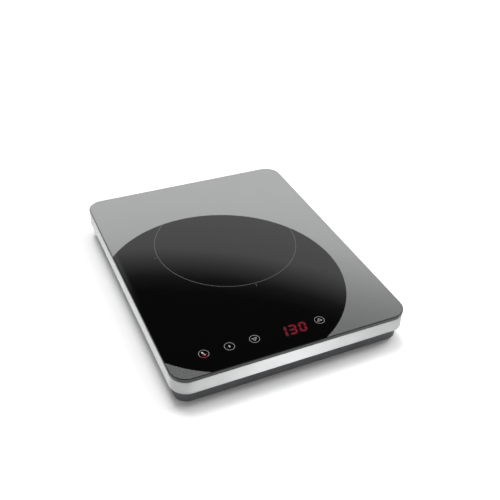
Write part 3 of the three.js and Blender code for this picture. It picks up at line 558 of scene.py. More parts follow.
def carve(base, tool, operation="DIFFERENCE"):
    """Cuts a tool from a base object, or joins it, and removes the tool."""
    step = base.modifiers.new("carve", "BOOLEAN")
    step.operation = operation
    step.object = tool
    step.solver = "EXACT"
    step.use_self = operation == "UNION"
    depsgraph = bpy.context.evaluated_depsgraph_get()
    mesh = bpy.data.meshes.new_from_object(base.evaluated_get(depsgraph))
    base.modifiers.clear()
    base.data = mesh
    bpy.data.objects.remove(tool)
    return base


def soften(made, width, segments=2, angle=35):
    """Rounds the sharp edges of an object by a bevel of that width."""
    bevel = made.modifiers.new("edges", "BEVEL")
    bevel.width = width * MM
    bevel.segments = segments
    bevel.limit_method = "ANGLE"
    bevel.angle_limit = math.radians(angle)
    bevel.use_clamp_overlap = True
    bevel.harden_normals = True


def finish(name, shape, finishes, body="casing", stands_for=(), edge=0.0, smooth=32):
    """Turns a bmesh or temporary object into a finished piece that rides on a body."""
    if isinstance(shape, bmesh.types.BMesh):
        shape = temporary(shape)
    mesh = shape.data
    bpy.data.objects.remove(shape)
    mesh.transform(Matrix.Scale(MM, 4))
    mesh.name = name
    part_of_faces = [face.material_index for face in mesh.polygons]
    mesh.materials.clear()
    for key in finishes:
        mesh.materials.append(FINISHES[key])
    mesh.polygons.foreach_set("material_index", part_of_faces)
    mesh.shade_smooth()
    mesh.set_sharp_from_angle(angle=math.radians(smooth))
    made = scene_object(name, mesh)
    if edge:
        soften(made, edge)
    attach(made, body)
    if stands_for:
        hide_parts(*stands_for)
    return made


# ------------------------------------------------------------------ glass plate and its print

def glass_plate():
    """Plate with pencil-ground edges: black face, duller rim."""
    low, high = GLASS_LOW.z, GLASS_HIGH.z
    bottom_edge = [(0.7, low)] + quarter_round(0.7, low, 0.0, low + 0.7, steps=4)
    top_edge = [(0.0, high - 0.9)] + quarter_round(0.0, high - 0.9, 0.9, high, steps=6, hollow=True)
    bm = bmesh.new()
    skin(bm, [footprint(inset, z) for inset, z in bottom_edge + top_edge], material=1)
    for face in bm.faces:
        if len(face.verts) > 4:
            face.material_index = 0
    finish("glass_top", bm, ["glass_black", "glass_edge"], stands_for=["glass_plate"])


def grey_corners():
    """Grey print outside the black disc, stopping short of the plate's rounded edge."""
    inset = 0.95
    border = footprint(inset, 0)
    disc = circle(BLACK_DISC_RADIUS, 0, BLACK_DISC_CENTRE, segments=288)
    points = [p.to_2d() for p in border + disc]
    count = len(border)
    edges = [(i, (i + 1) % count) for i in range(count)]
    edges += [(count + i, count + (i + 1) % len(disc)) for i in range(len(disc))]
    verts, _, faces, *_ = delaunay_2d_cdt(points, edges, [], 0, 1e-5)
    bm = bmesh.new()
    made = [bm.verts.new((p.x, p.y, PRINT_LOW)) for p in verts]
    half_x, half_y = WIDTH / 2 - inset, DEPTH / 2 - inset
    corner = CORNER_RADIUS - inset
    for face in faces:
        centre = sum((verts[i] for i in face), Vector((0, 0))) / len(face)
        reach = Vector((max(abs(centre.x) - half_x + corner, 0), max(abs(centre.y) - half_y + corner, 0)))
        if reach.length < corner and (centre - Vector(BLACK_DISC_CENTRE)).length > BLACK_DISC_RADIUS:
            bm.faces.new([made[i] for i in face])
    bmesh.ops.delete(bm, geom=[v for v in bm.verts if not v.link_faces], context="VERTS")
    thicken(bm)
    finish("print_grey_corners", bm, ["print_grey"])


def thicken(bm):
    """Gives a flat sheet of faces the thickness of printed ink."""
    grown = bmesh.ops.extrude_face_region(bm, geom=list(bm.faces), use_keep_orig=True)
    raised = [item for item in grown["geom"] if isinstance(item, bmesh.types.BMVert)]
    bmesh.ops.translate(bm, vec=(0, 0, PRINT_THICKNESS), verts=raised)


def ink_ring(bm, centre, radius, stroke, start=0.0, sweep_angle=360.0, steps=72, material=0, lift=0.0):
    """Printed arc, or a whole ring."""
    bottom, top = PRINT_LOW + lift, PRINT_HIGH + lift
    inner, outer = radius - stroke / 2, radius + stroke / 2
    section = ((inner, bottom), (outer, bottom), (outer, top), (inner, top))
    whole = sweep_angle >= 360
    loops = []
    for i in range(steps if whole else steps + 1):
        angle = math.radians(start + sweep_angle * i / steps)
        loops.append([polar(centre, reach, angle, z) for reach, z in section])
    skin(bm, loops, closed=whole, material=material)


def ink_shape(bm, outline, centre=(0.0, 0.0), material=0, lift=0.0):
    points = [(centre[0] + p[0], centre[1] + p[1]) for p in outline]
    prism(bm, points, PRINT_LOW + lift, PRINT_HIGH + lift, material=material)


def ink_stroke(bm, start, end, stroke, centre, material=0, lift=0.0):
    """Printed line with round ends between two points."""
    start, end = Vector(start), Vector(end)
    along = end - start
    turn = Matrix.Rotation(math.atan2(along.y, along.x), 2)
    middle_point = (start + end) / 2
    bar = [turn @ p.to_2d() + middle_point for p in stadium(along.length + stroke, stroke, segments=5)]
    ink_shape(bm, bar, centre, material, lift)


def ink_triangle(bm, centre, direction):
    """Hollow arrow triangle, apex to the rear when direction is 1 and to the front when -1."""
    half_width, foot, apex, stroke = 2.8, -1.4, 2.4, 0.44
    points = [(-half_width, foot * direction), (half_width, foot * direction), (0, apex * direction)]
    for step, (start, end) in enumerate(zip(points, points[1:] + points[:1])):
        ink_stroke(bm, start, end, stroke, centre, material=1, lift=0.004 * step)


def temperature_needle(bm, centre):
    """Slanting white needle with a bright head, over a lit red notch."""
    ink_stroke(bm, (-1.0, 2.0), (1.0, -2.2), 0.8, centre, material=1)
    ink_shape(bm, circle(0.85, centre=(-1.05, 2.1), segments=20), centre, material=3, lift=0.004)
    ink_stroke(bm, (-1.7, -0.5), (-0.3, -3.6), 0.75, centre, material=2, lift=0.008)
    ink_stroke(bm, (-0.3, -3.6), (3.2, -0.9), 0.75, centre, material=2, lift=0.012)


def power_bolt(bm, centre):
    """Small lightning bolt."""
    outline = [(0.2, 2.3), (-1.15, -0.2), (-0.35, -0.45), (-0.1, -2.3), (1.15, 0.3), (0.35, 0.55)]
    ink_shape(bm, outline, centre, material=1)


def touch_keys():
    """Printed ring and symbol of each touch key; the first key's lamp is lit."""
    radius, stroke, lamp_stroke = 5.65, 0.54, 0.95
    symbols = [
        temperature_needle,
        power_bolt,
        lambda bm, centre: ink_triangle(bm, centre, -1),
        lambda bm, centre: ink_triangle(bm, centre, 1),
    ]
    for number, (key, symbol) in enumerate(zip(KEYS, symbols), start=1):
        bm = bmesh.new()
        ink_ring(bm, key, radius, stroke)
        symbol(bm, key)
        finish(f"key_mark_{number}", bm, ["print_pale", "print_white", "lamp_red", "lamp_white"])
    bm = bmesh.new()
    ink_ring(bm, KEYS[0], radius, lamp_stroke, start=205, sweep_angle=95, steps=30, lift=0.02)
    finish("key_lamp", bm, ["lamp_red"])


def display_digits():
    """Lit seven-segment digits, leaning to the right; each lit segment lies on a wider dim red stroke,
    painted glow of LED light spread in the glass.
    """
    pitch, stroke, halo, clearance = 12.05, 0.7, 3.4, 0.35
    left, right, low, high = -3.1, 3.1, -6.2, 6.2
    lean = math.tan(math.radians(12))
    segments = {
        "top": ((left, high), (right, high)),
        "middle": ((left, 0), (right, 0)),
        "bottom": ((left, low), (right, low)),
        "upper_left": ((left, 0), (left, high)),
        "upper_right": ((right, 0), (right, high)),
        "lower_left": ((left, low), (left, 0)),
        "lower_right": ((right, low), (right, 0)),
    }
    unlit = {
        "1": {"top", "middle", "bottom", "upper_left", "lower_left"},
        "3": {"upper_left", "lower_left"},
        "0": {"middle"},
    }
    for place, digit in enumerate("130"):
        digit_x = DISPLAY.x + (place - 1) * pitch
        bm = bmesh.new()
        for name, (start, end) in segments.items():
            if name in unlit[digit]:
                continue
            start, end = Vector(start), Vector(end)
            along = (end - start).normalized()
            across = Vector((-along.y, along.x)) * stroke / 2
            gap, point = along * clearance, along * (stroke / 2)
            bar = [start + gap, start + gap + point - across, end - gap - point - across,
                   end - gap, end - gap - point + across, start + gap + point + across]
            leaning = [(digit_x + p.x + p.y * lean, DISPLAY.y + p.y) for p in bar]
            ink_shape(bm, leaning, lift=0.02)
            # painted glow: a wider dim red emissive stroke along each lit segment, standing for LED light
            # spreading in the glass, not a lamp
            shine = [Vector((p.x + p.y * lean, p.y)) for p in (start, end)]
            ink_stroke(bm, *shine, halo, (digit_x, DISPLAY.y), material=1)
        finish(f"display_digit_{place + 1}", bm, ["led_red", "led_halo"])


def zone_mark():
    """Thin ring and four ticks round the cooking zone."""
    stroke = 0.9
    tick_start, tick_end = ZONE_RADIUS + 1.6, ZONE_RADIUS + 6.0
    half = stroke / 2
    tick = [(tick_start, -half), (tick_end, -half), (tick_end, half), (tick_start, half)]
    bm = bmesh.new()
    ink_ring(bm, COIL, ZONE_RADIUS, stroke, steps=180)
    for quarter in range(4):
        turn = Matrix.Rotation(math.radians(90 * quarter), 2)
        ink_shape(bm, [turn @ Vector(point) for point in tick], COIL)
    finish("zone_mark", bm, ["print_zone"])


# ------------------------------------------------------------------ casing

def glass_seal():
    """Silicone bead that shows as a dark line between the band and the glass."""
    inner, outer = 8.8, SEAL_LOW.x - GLASS_LOW.x
    profile = chamfered(outer, inner, SEAL_LOW.z, SEAL_HIGH.z, edge=0.3)
    bm = bmesh.new()
    skin(bm, [footprint(inset, z) for inset, z in profile], closed=True)
    finish("seal_bead", bm, ["seal"], stands_for=["glass_seal"])


def metal_band():
    """Band of C section with rounded outer edges and the screw lugs of its lower ledge."""
    low, high = BAND_LOW.z, BAND_HIGH.z
    wall, top_ledge, bottom_ledge, sheet, edge = 2.2, 12.0, 8.5, 1.8, 0.6
    lip, lip_height, burr = 0.3, 1.3, 0.2
    inner_low, inner_high = low + sheet, high - sheet
    profile = [(edge, low)] + quarter_round(edge, low, 0.0, low + edge)
    profile += [(0.0, low + lip_height), (lip, low + lip_height + lip), (lip, high - edge)]
    profile += quarter_round(lip, high - edge, edge + lip, high, hollow=True)
    profile += [(top_ledge - burr, high), (top_ledge, high - burr), (top_ledge, inner_high)]
    profile += [(wall + 1, inner_high), (wall, inner_high - 1), (wall, inner_low + 1), (wall + 1, inner_low)]
    profile += [(bottom_ledge, inner_low), (bottom_ledge, low + burr), (bottom_ledge - burr, low)]
    bm = bmesh.new()
    skin(bm, [footprint(inset, z) for inset, z in profile], closed=True)
    band = temporary(bm)
    lugs, bores = bmesh.new(), bmesh.new()
    lug_radius, lug_height, bore = 7, 2.2, 1.9
    for place in CASE_SCREWS:
        peg(lugs, place, lug_radius, low, low + lug_height, segments=40)
        peg(bores, place, bore, low - 1, low + 4)
    carve(band, temporary(lugs), "UNION")
    carve(band, temporary(bores))
    finish("metal_band", band, ["band"], stands_for=["side_frame"])


def tray_shell():
    """Open shell with a rounded lower edge, a filleted floor and a plain rim."""
    outer, inner = TRAY_INSET, TRAY_INSET + TRAY_WALL
    low, round_edge, rim_edge, fillet = TRAY_LOW.z, 2.2, 0.3, 0.8
    profile = [(outer + round_edge, low)]
    profile += quarter_round(outer + round_edge, low, outer, low + round_edge)
    profile += [(outer, TRAY_RIM - rim_edge), (outer + rim_edge, TRAY_RIM)]
    profile += [(inner - rim_edge, TRAY_RIM), (inner, TRAY_RIM - rim_edge)]
    profile += [(inner, FLOOR_TOP + fillet), (inner + fillet, FLOOR_TOP)]
    bm = bmesh.new()
    skin(bm, [footprint(inset, z) for inset, z in profile])
    return temporary(bm)


def intake_slots(bm):
    """Round field of parallel slots under the fan, split by a rib."""
    pitch, width, radius, rib, rows = 6.0, 3.0, 37.0, 3.0, 6
    for row in range(-rows, rows + 1):
        length = math.sqrt(radius ** 2 - (row * pitch) ** 2) - rib / 2
        for side in (-1, 1):
            centre = (FAN.x + side * (rib / 2 + length / 2), FAN.y + row * pitch)
            prism(bm, stadium(length, width, centre), TRAY_LOW.z - 1, FLOOR_TOP + 1)


def exhaust_slots(bm):
    """Upright round-ended slots through the rear wall and both side walls."""
    pitch, width, low, high = 8.0, 3.6, 9.0, 18.0
    rear_start, right_start, left_start = -60, -105, 45
    wall_x, wall_y = TRAY_HIGH.x - TRAY_WALL / 2, TRAY_HIGH.y - TRAY_WALL / 2

    def slot(x, y, angle):
        stand = turned(angle) @ turned(-90, "Y")
        place = Matrix.Translation((x, y, (low + high) / 2))
        prism(bm, stadium(high - low, width), -2 * TRAY_WALL, 2 * TRAY_WALL, place @ stand)

    for i in range(12):
        slot(rear_start + i * pitch, wall_y, 90)
    for i in range(8):
        slot(wall_x, right_start + i * pitch, 0)
        slot(-wall_x, left_start + i * pitch, 0)


def tray_posts(bm):
    """Screw towers and the posts that carry the boards, coil and fan."""
    root, tower_radius = FLOOR_TOP - 1, 5
    for place in CASE_SCREWS:
        peg(bm, place, tower_radius, root, TRAY_RIM, segments=36)
    carried = (("board_screw", 4, 3.4, "power_board"), ("coil_screw", 3, 4, "coil_carrier"),
               ("fan_screw", 2, 3.6, "fan_frame"))
    for screw, count, radius, load in carried:
        top = corners(load)[0].z - GAP
        for i in range(1, count + 1):
            peg(bm, middle(f"{screw}_{i}"), radius, root, top, segments=28)
    low, high = corners("control_board")
    radius, margin = 3, 5
    for x in (low.x + margin, high.x - margin):
        for y in (low.y + margin, high.y - margin):
            peg(bm, (x, y), radius, root, low.z - GAP)


def tray_holes(bm):
    """Bores for the screws, feet and cord gland."""
    recess, bore, seat, foot_bore = 3.9, 2, TRAY_LOW.z + 3, 3
    for place in CASE_SCREWS:
        lathe(bm, [(recess, TRAY_LOW.z - 1), (recess, seat), (bore, seat), (bore, TRAY_RIM + 1)], place, 32)
    for foot in FEET:
        peg(bm, middle(foot), foot_bore, TRAY_LOW.z - 1, FLOOR_TOP + 1)
    wall = TRAY_HIGH.y - TRAY_WALL / 2
    outline = circle(GLAND_NECK + GAP, segments=40)
    prism(bm, outline, wall - 4, wall + 4, lying_along_y(middle("gland_nut")))


def floor_ribs(bm):
    """Shallow stiffening grooves on the underside: two long lines and a ring round the intake."""
    length, width, depth = 290, 2.2, 0.5
    low, high = TRAY_LOW.z - 1, TRAY_LOW.z + depth
    line = stadium(length, width, segments=6)
    for x in (-18, 58):
        prism(bm, line, low, high, Matrix.Translation((x, 0, 0)) @ turned(90))
    inner, outer = 43, 45.5
    lathe(bm, [(inner, low), (outer, low), (outer, high), (inner, high)], FAN, segments=96, closed=True)


def base_tray():
    """Moulded bottom shell with vents, screw recesses and stiffening grooves."""
    tray = tray_shell()
    posts = bmesh.new()
    tray_posts(posts)
    carve(tray, temporary(posts), "UNION")
    for cutters in (intake_slots, exhaust_slots, tray_holes, floor_ribs):
        tools = bmesh.new()
        cutters(tools)
        carve(tray, temporary(tools))
    finish("moulded_tray", tray, ["case"], stands_for=["base_tray"], edge=0.3)


def rubber_feet():
    """Push-in feet: a soft pad with a grooved sole and a barbed stem."""
    top, barb, groove = TRAY_LOW.z - GAP, FLOOR_TOP + GAP, 0.45
    sole = [(0.6, groove), (3.0, groove), (3.3, 0.0), (4.2, 0.0)]
    sole += [(4.5, groove), (5.6, groove), (5.9, 0.0), (7.9, 0.0)]
    flank = [(8.4, 0.12), (8.9, 0.5), (9.6, 1.5), (9.95, 2.6), (10.0, top - 0.4), (9.7, top)]
    stem = [(2.6, top), (2.6, barb), (3.6, barb), (3.65, barb + 0.3), (1.6, barb + 1.8), (0.5, barb + 2.05)]
    for node in FEET:
        bm = bmesh.new()
        lathe(bm, sole + flank + stem, middle(node), segments=56)
        finish(f"rubber_{node}", bm, ["rubber"], stands_for=[node])


def screw_mesh(head, head_height, shank, length):
    """Pan-head screw with a cross recess and a threaded shank; its head's underside is at zero."""
    bm = bmesh.new()
    pitch = 0.9
    turns = int((length - 1.5) / pitch)
    thread = []
    for i in range(turns):
        z = -length + 1.2 + i * pitch
        thread += [(shank * 0.82, z), (shank, z + pitch * 0.45)]
    dome = quarter_round(0, head_height * 0.35, head * 0.45, head_height, steps=6, hollow=True)
    profile = [(0.3, -length), (shank * 0.6, -length + 0.7)] + thread
    profile += [(shank * 0.82, -0.2), (shank, 0.0), (head - 0.15, 0.0), (head, 0.2)]
    profile += [(head, head_height * 0.35)] + [(head - inset, z) for inset, z in dome]
    profile += [(head * 0.25, head_height)]
    lathe(bm, profile, segments=36)
    screw = temporary(bm)
    tools = bmesh.new()
    reach, width = head * 0.55, head * 0.13
    quarter = [(reach, -width), (reach, width), (width, width)]
    arms = []
    for _ in range(4):
        arms += quarter
        quarter = [(-y, x) for x, y in quarter]
    top = [Vector((x, y, head_height + 1)) for x, y in arms]
    bottom = [Vector((x * 0.6, y * 0.8, head_height * 0.25)) for x, y in arms]
    skin(tools, [bottom, top])
    return carve(screw, temporary(tools))


def screws():
    """Every screw, at its CAD node's place; the case screws point up, the others down."""
    kinds = {"case_screw": (6, 2.2, 1.55, True), "coil_screw": (3, 1.9, 1.3, False),
             "fan_screw": (2, 1.9, 1.3, False), "board_screw": (4, 1.9, 1.3, False)}
    for kind, (count, head_height, shank, head_down) in kinds.items():
        for number in range(1, count + 1):
            node = f"{kind}_{number}"
            low, high = corners(node)
            shape = screw_mesh((high.x - low.x) / 2, head_height, shank, high.z - low.z - head_height)
            seat = low.z + head_height if head_down else high.z - head_height
            centre = (low + high) / 2
            turn = turned(37 * number)
            if head_down:
                turn = turn @ turned(180, "X")
            shape.data.transform(Matrix.Translation((centre.x, centre.y, seat)) @ turn)
            finish(f"pan_head_{node}", shape, ["zinc"], stands_for=[node], smooth=40)


def cord_gland():
    """Nylon bushing with a knurled flange."""
    low, high = corners("cord_gland")
    bore, neck, flange, edge = 3.6, GLAND_NECK, (high.x - low.x) / 2, 0.3
    face = high.y - 3.4
    profile = [(bore, low.y), (bore + edge, low.y), (neck - edge, low.y), (neck, low.y + edge), (neck, face),
               (flange - edge, face), (flange, face + edge), (flange, face + 1.6), (flange - 0.4, face + 2.0),
               (neck + 1.1, high.y - edge), (neck + 0.5, high.y), (bore + 0.9, high.y),
               (bore + edge, high.y - edge), (bore, high.y - 1.0)]
    bm = bmesh.new()
    skin(bm, [knurled(radius, y, grip=radius > neck + 1.8) for radius, y in profile], closed=True)
    bm.transform(lying_along_y(middle("cord_gland")))
    finish("gland_bushing", bm, ["nylon"], stands_for=["cord_gland"])


def knurled(radius, z, grip, ridges=20, segments=120):
    """Circle whose radius steps in and out where fingers grip it."""
    loop = circle(radius, z, segments=segments)
    if grip:
        dips = [math.sin(ridges * 2 * math.pi * i / segments) > 0.3 for i in range(segments)]
        loop = [Vector((p.x * 0.975, p.y * 0.975, z)) if dip else p for p, dip in zip(loop, dips)]
    return loop


def gland_nut():
    """Hexagon nut that clamps the bushing from inside."""
    low, high = corners("gland_nut")
    bore, outer, edge = GLAND_NECK + GAP, (high.z - low.z) / 2, 0.6
    flats = [(outer - edge, low.y), (outer, low.y + edge), (outer, high.y - edge), (outer - edge, high.y)]
    loops = [circle(bore, low.y, segments=60)]
    loops += [hexagon(radius, y) for radius, y in flats]
    loops += [circle(bore, high.y, segments=60)]
    bm = bmesh.new()
    skin(bm, loops, closed=True)
    bm.transform(lying_along_y(middle("gland_nut")) @ turned(90))
    finish("gland_lock_nut", bm, ["nylon"], stands_for=["gland_nut"])


def hexagon(radius, z, per_side=10):
    """Six-sided outline with as many points as a circle of 6 * per_side segments."""
    tips = circle(radius, z, segments=6)
    return [a.lerp(b, i / per_side) for a, b in zip(tips, tips[1:] + tips[:1]) for i in range(per_side)]


# ------------------------------------------------------------------ fan

def fan_housing():
    """Square fan frame with flared bore, motor plate, struts and screw eyes."""
    low, high = corners("fan_frame")
    housing = fan_shell(low, high)
    bore, eyes = bmesh.new(), bmesh.new()
    eye_radius = 1.9
    flare = [(1.6, -1), (1.6, 0), (0.5, 0.8), (0, 2.2)]
    profile = [(FAN_BORE + out, low.z + up) for out, up in flare]
    profile += [(FAN_BORE + out, high.z - up) for out, up in reversed(flare)]
    lathe(bore, profile, FAN, segments=96)
    carve(housing, temporary(bore))
    for side_x in (-FAN_SCREW_REACH, FAN_SCREW_REACH):
        for side_y in (-FAN_SCREW_REACH, FAN_SCREW_REACH):
            peg(eyes, (FAN.x + side_x, FAN.y + side_y), eye_radius, low.z - 1, high.z + 1)
    carve(housing, temporary(eyes))
    carve(housing, motor_plate(low.z), "UNION")
    finish("fan_housing", housing, ["fan"], stands_for=["fan_frame"], edge=0.2)


def fan_shell(low, high):
    """Square block of the frame with round corners and eased edges."""
    size, radius, edge = high.x - low.x, 6, 0.5
    profile = [(edge, low.z), (0.0, low.z + edge), (0.0, high.z - edge), (edge, high.z)]
    bm = bmesh.new()
    skin(bm, [rounded_rectangle(size - 2 * i, size - 2 * i, radius - i, z, FAN, 8) for i, z in profile])
    return temporary(bm)


def motor_plate(bottom):
    """Round plate with the bearing tube, on three struts that reach into the frame."""
    bm, struts = bmesh.new(), bmesh.new()
    thickness, half_width = 2, 2
    profile = [(1.7, 0), (14.6, 0), (15, 0.4), (15, 1.6), (14.6, 2), (4.2, 2), (3.6, 2.6), (3.6, 9.7),
               (3.3, 10), (1.6, 10), (1.6, 1)]
    lathe(bm, [(radius, bottom + up) for radius, up in profile], FAN, segments=64, closed=True)
    for angle in (60, 180, 300):
        turn = Matrix.Translation((FAN.x, FAN.y, 0)) @ turned(angle)
        box(struts, (10, -half_width, bottom), (FAN_BORE + 1.2, half_width, bottom + thickness), turn)
    return carve(temporary(bm), temporary(struts), "UNION")


def fan_rotor():
    """Cup hub and seven twisted blades, on the spinning body."""
    low, high = corners("fan_rotor")
    hub, tip, cup = 16.5, 38.0, 14.9
    bottom, top = low.z, high.z
    roof, dish = top - 1.7, top - 0.35
    bm = bmesh.new()
    lathe(bm, [(cup, bottom), (16.3, bottom), (hub, bottom + 0.3), (hub, top - 1.6), (hub - 0.5, top - 0.5),
               (hub - 1.6, top), (hub - 2.0, top), (9.2, top), (9, top), (8.8, dish), (8.6, dish),
               (1.8, dish), (1.6, dish), (1.35, top - 0.7), (SHAFT_RADIUS, roof), (cup, roof)],
          FAN, segments=72, closed=True)
    peg(bm, FAN, SHAFT_RADIUS, bottom + 1, top - 1.2)
    for blade in range(FAN_BLADES):
        fan_blade(bm, blade / FAN_BLADES * 2 * math.pi, hub - 0.4, tip, bottom + 0.7, top - 0.7)
    finish("fan_impeller", bm, ["fan"], body="fan", stands_for=["fan_rotor"], smooth=45)


def fan_blade(bm, start_angle, root, tip, bottom, top):
    """Cambered blade: the chord grows and leans forward from root to tip."""
    spans, chords, thickness, blunt = 9, 12, 1.2, math.sin(math.pi * 0.02)
    forward, camber, filled = 0.30, 0.16, 0.86
    loops = []
    for i in range(spans + 1):
        share = i / spans
        radius = root + (tip - root) * share
        run = 0.78 - 0.16 * share
        lead = start_angle + forward * share ** 1.5
        rise = (top - bottom) * (1.0 - 0.12 * share)
        upper, lower = [], []
        for j in range(chords + 1):
            along = j / chords
            angle = lead + run * (along - 0.5)
            height = (bottom + top) / 2 + rise * (along - 0.5 + camber * math.sin(math.pi * along)) * filled
            half = thickness / 2 * math.sqrt(max(blunt, math.sin(math.pi * along)))
            upper.append(polar(FAN, radius, angle, height + half))
            lower.append(polar(FAN, radius, angle, height - half))
        loops.append(upper + list(reversed(lower)))
    skin(bm, loops)


# ------------------------------------------------------------------ coil

def coil_winding():
    """Flat spiral of litz bundles, each a flattened rope of seven twisted groups."""
    low, high = corners("coil_winding")
    inner, outer, turns, clearance = 25.0, 84.0, 9, 0.35
    pitch = (outer - inner) / (turns + 1)
    half_width, half_height = pitch / 2 - clearance, (high.z - low.z) / 2
    steps = turns * 84
    section_points, groups, groove, lay, flatness = 28, 7, 0.09, 26.0, 3.2
    path, lengths = [], [0.0]
    for step in range(steps + 1):
        turned = step / steps * turns
        radius = inner + pitch * (0.5 + turned)
        point = polar(COIL, radius, turned * 2 * math.pi - math.pi / 2, (low.z + high.z) / 2)
        if path:
            lengths.append(lengths[-1] + (point - path[-1]).length)
        path.append(point)

    def rope(step):
        twist = lengths[step] / lay * 2 * math.pi
        offsets = []
        for i in range(section_points):
            angle = 2 * math.pi * i / section_points
            across, up = math.cos(angle), math.sin(angle)
            lobe = 1 - groove * (1 - abs(math.sin(groups / 2 * (angle - twist / groups))))
            reach = lobe * (abs(across) ** flatness + abs(up) ** flatness) ** (-1 / flatness)
            offsets.append((half_width * reach * across, half_height * reach * up))
        return offsets

    bm = bmesh.new()
    sweep(bm, path, rope)
    finish("litz_winding", bm, ["litz"], stands_for=["coil_winding"], smooth=60)


def touch_springs():
    """Conical contact springs of round wire with closed end coils."""
    wire, turns, points_per_turn, flat_share = 0.4, 4.5, 32, 0.16
    for number, key in enumerate(KEYS, start=1):
        node = f"touch_spring_{number}"
        low, high = corners(node)
        bottom, top = low.z + wire, high.z - wire
        wide, narrow = (high.x - low.x) / 2 - wire, 3.0
        path = []
        count = int(turns * points_per_turn)
        for i in range(count + 1):
            share = i / count
            eased = min(1.0, max(0.0, (share - flat_share) / (1 - 2 * flat_share)))
            radius = narrow + (wide - narrow) * eased
            path.append(polar(key, radius, share * turns * 2 * math.pi, bottom + (top - bottom) * eased))
        bm = bmesh.new()
        sweep(bm, path, lambda step: round_wire(wire))
        finish(f"contact_spring_{number}", bm, ["spring"], stands_for=[node], smooth=60)


def mains_choke():
    """Toroidal core with two half windings of thick enamelled wire."""
    low, high = corners("mains_choke")
    centre, wire = (low + high) / 2, 1.0
    inner, outer = 6.6, (high.x - low.x) / 2 - 2 * wire
    bottom, top = low.z + 2 * wire, high.z - 2 * wire
    turns, pitch = 11, 13.2
    bm = bmesh.new()
    lathe(bm, chamfered(inner, outer, bottom, top, edge=0.6), centre, segments=72, closed=True, material=1)
    around_core = choke_turn(inner, outer, bottom, top, wire)
    for half in (0, 180):
        for turn in range(turns):
            angle = math.radians(half + (turn - (turns - 1) / 2) * pitch)
            path = [polar(centre, radius, angle, z) for radius, z in around_core]
            side = Vector((math.sin(angle), -math.cos(angle), 0))
            closed_tube(bm, path, round_wire(wire), side)
    finish("choke_coil", bm, ["choke", "core"], stands_for=["mains_choke"], smooth=60)


def choke_turn(inner, outer, bottom, top, wire):
    """Rounded path of one turn round the core's section, as (radius, z)."""
    points = []
    for sx, sz, quarter in ((1, 1, 0), (-1, 1, 1), (-1, -1, 2), (1, -1, 3)):
        corner = (outer if sx > 0 else inner, top if sz > 0 else bottom)
        for step in range(4):
            angle = (quarter + step / 3) * math.pi / 2
            points.append((corner[0] + wire * math.cos(angle), corner[1] + wire * math.sin(angle)))
    return points


def closed_tube(bm, path, ring, side):
    """Tube round a closed flat path; side is the direction across the path's plane."""
    loops = []
    for i, point in enumerate(path):
        tangent = (path[(i + 1) % len(path)] - path[i - 1]).normalized()
        outward = side.cross(tangent).normalized()
        loops.append([point + side * a + outward * b for a, b in ring])
    skin(bm, loops, closed=True)


# ------------------------------------------------------------------ CAD nodes that keep their shape

KEPT_NODES = {
    "mica_sheet": ("mica", 0.15),
    "coil_carrier": ("carrier", 0.35),
    "pan_sensor": ("silicone", 0.25),
    "coil_lead_inner": ("lead_red", 0.0),
    "coil_lead_outer": ("lead_red", 0.0),
    "fan_stator": ("motor", 0.25),
    "fan_lead": ("lead_black", 0.0),
    "power_board": ("board", 0.1),
    "heatsink": ("heatsink", 0.2),
    "power_transistor": ("epoxy", 0.2),
    "bridge_rectifier": ("epoxy", 0.2),
    "filter_capacitor": ("film_box", 0.3),
    "resonant_capacitor": ("film_box", 0.3),
    "supply_transformer": ("tape", 0.3),
    "mains_fuse": ("fuse", 0.15),
    "terminal_block": ("terminal", 0.25),
    "control_board": ("board", 0.1),
    "display_module": ("display", 0.2),
    "buzzer": ("epoxy", 0.3),
    "ribbon_cable": ("ribbon", 0.1),
    **{f"ferrite_bar_{i}": ("ferrite", 0.4) for i in range(1, 7)},
}


def dress_kept_nodes():
    """Gives each CAD node that stays its material, welded corners and soft edges."""
    for node, (key, edge) in KEPT_NODES.items():
        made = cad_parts[node]
        made.data.materials.clear()
        made.data.materials.append(FINISHES[key])
        weld = made.modifiers.new("weld", "WELD")
        weld.merge_threshold = 0.002 * MM
        if edge:
            soften(made, edge)


# ------------------------------------------------------------------ stage, lights and camera, in metres

def stage_floor():
    """Large pale floor with a very faint unevenness."""
    made = Finish("floor_white", (0.90, 0.90, 0.90), 0.7)
    cloud = made.noise(900, detail=2)
    made.paint(made.blend(made.spread(cloud, 0, 1), (0.89, 0.89, 0.89), (0.91, 0.91, 0.91)))
    mesh = bpy.data.meshes.new("floor")
    reach = 12.0
    outline = [(x * reach, y * reach, 0) for x, y in ((-1, -1), (1, -1), (1, 1), (-1, 1))]
    mesh.from_pydata(outline, [], [range(4)])
    mesh.materials.append(made.material)
    scene_object("floor", mesh)


def soft_light(name, place, target, size, power):
    data = bpy.data.lights.new(name, "AREA")
    data.shape = "RECTANGLE"
    data.size, data.size_y = size
    data.energy = power
    light = scene_object(name, data)
    light.location = place
    light.rotation_euler = (Vector(target) - Vector(place)).to_track_quat("-Z", "Y").to_euler()


def soft_sun(name, toward, spread_angle, strength):
    """Even light over everything, which gloss doesn't show as a bright patch."""
    data = bpy.data.lights.new(name, "SUN")
    data.angle = math.radians(spread_angle)
    data.energy = strength
    light = scene_object(name, data)
    light.rotation_euler = Vector(toward).to_track_quat("Z", "Y").to_euler()
    light.visible_glossy = False


def light_only(piece, lights):
    """Those lights fall on that piece and on nothing else, so the glass doesn't mirror them."""
    receivers = bpy.data.collections.new("receivers")
    receivers.objects.link(bpy.data.objects[piece])
    for name in lights:
        bpy.data.objects[name].light_linking.receiver_collection = receivers


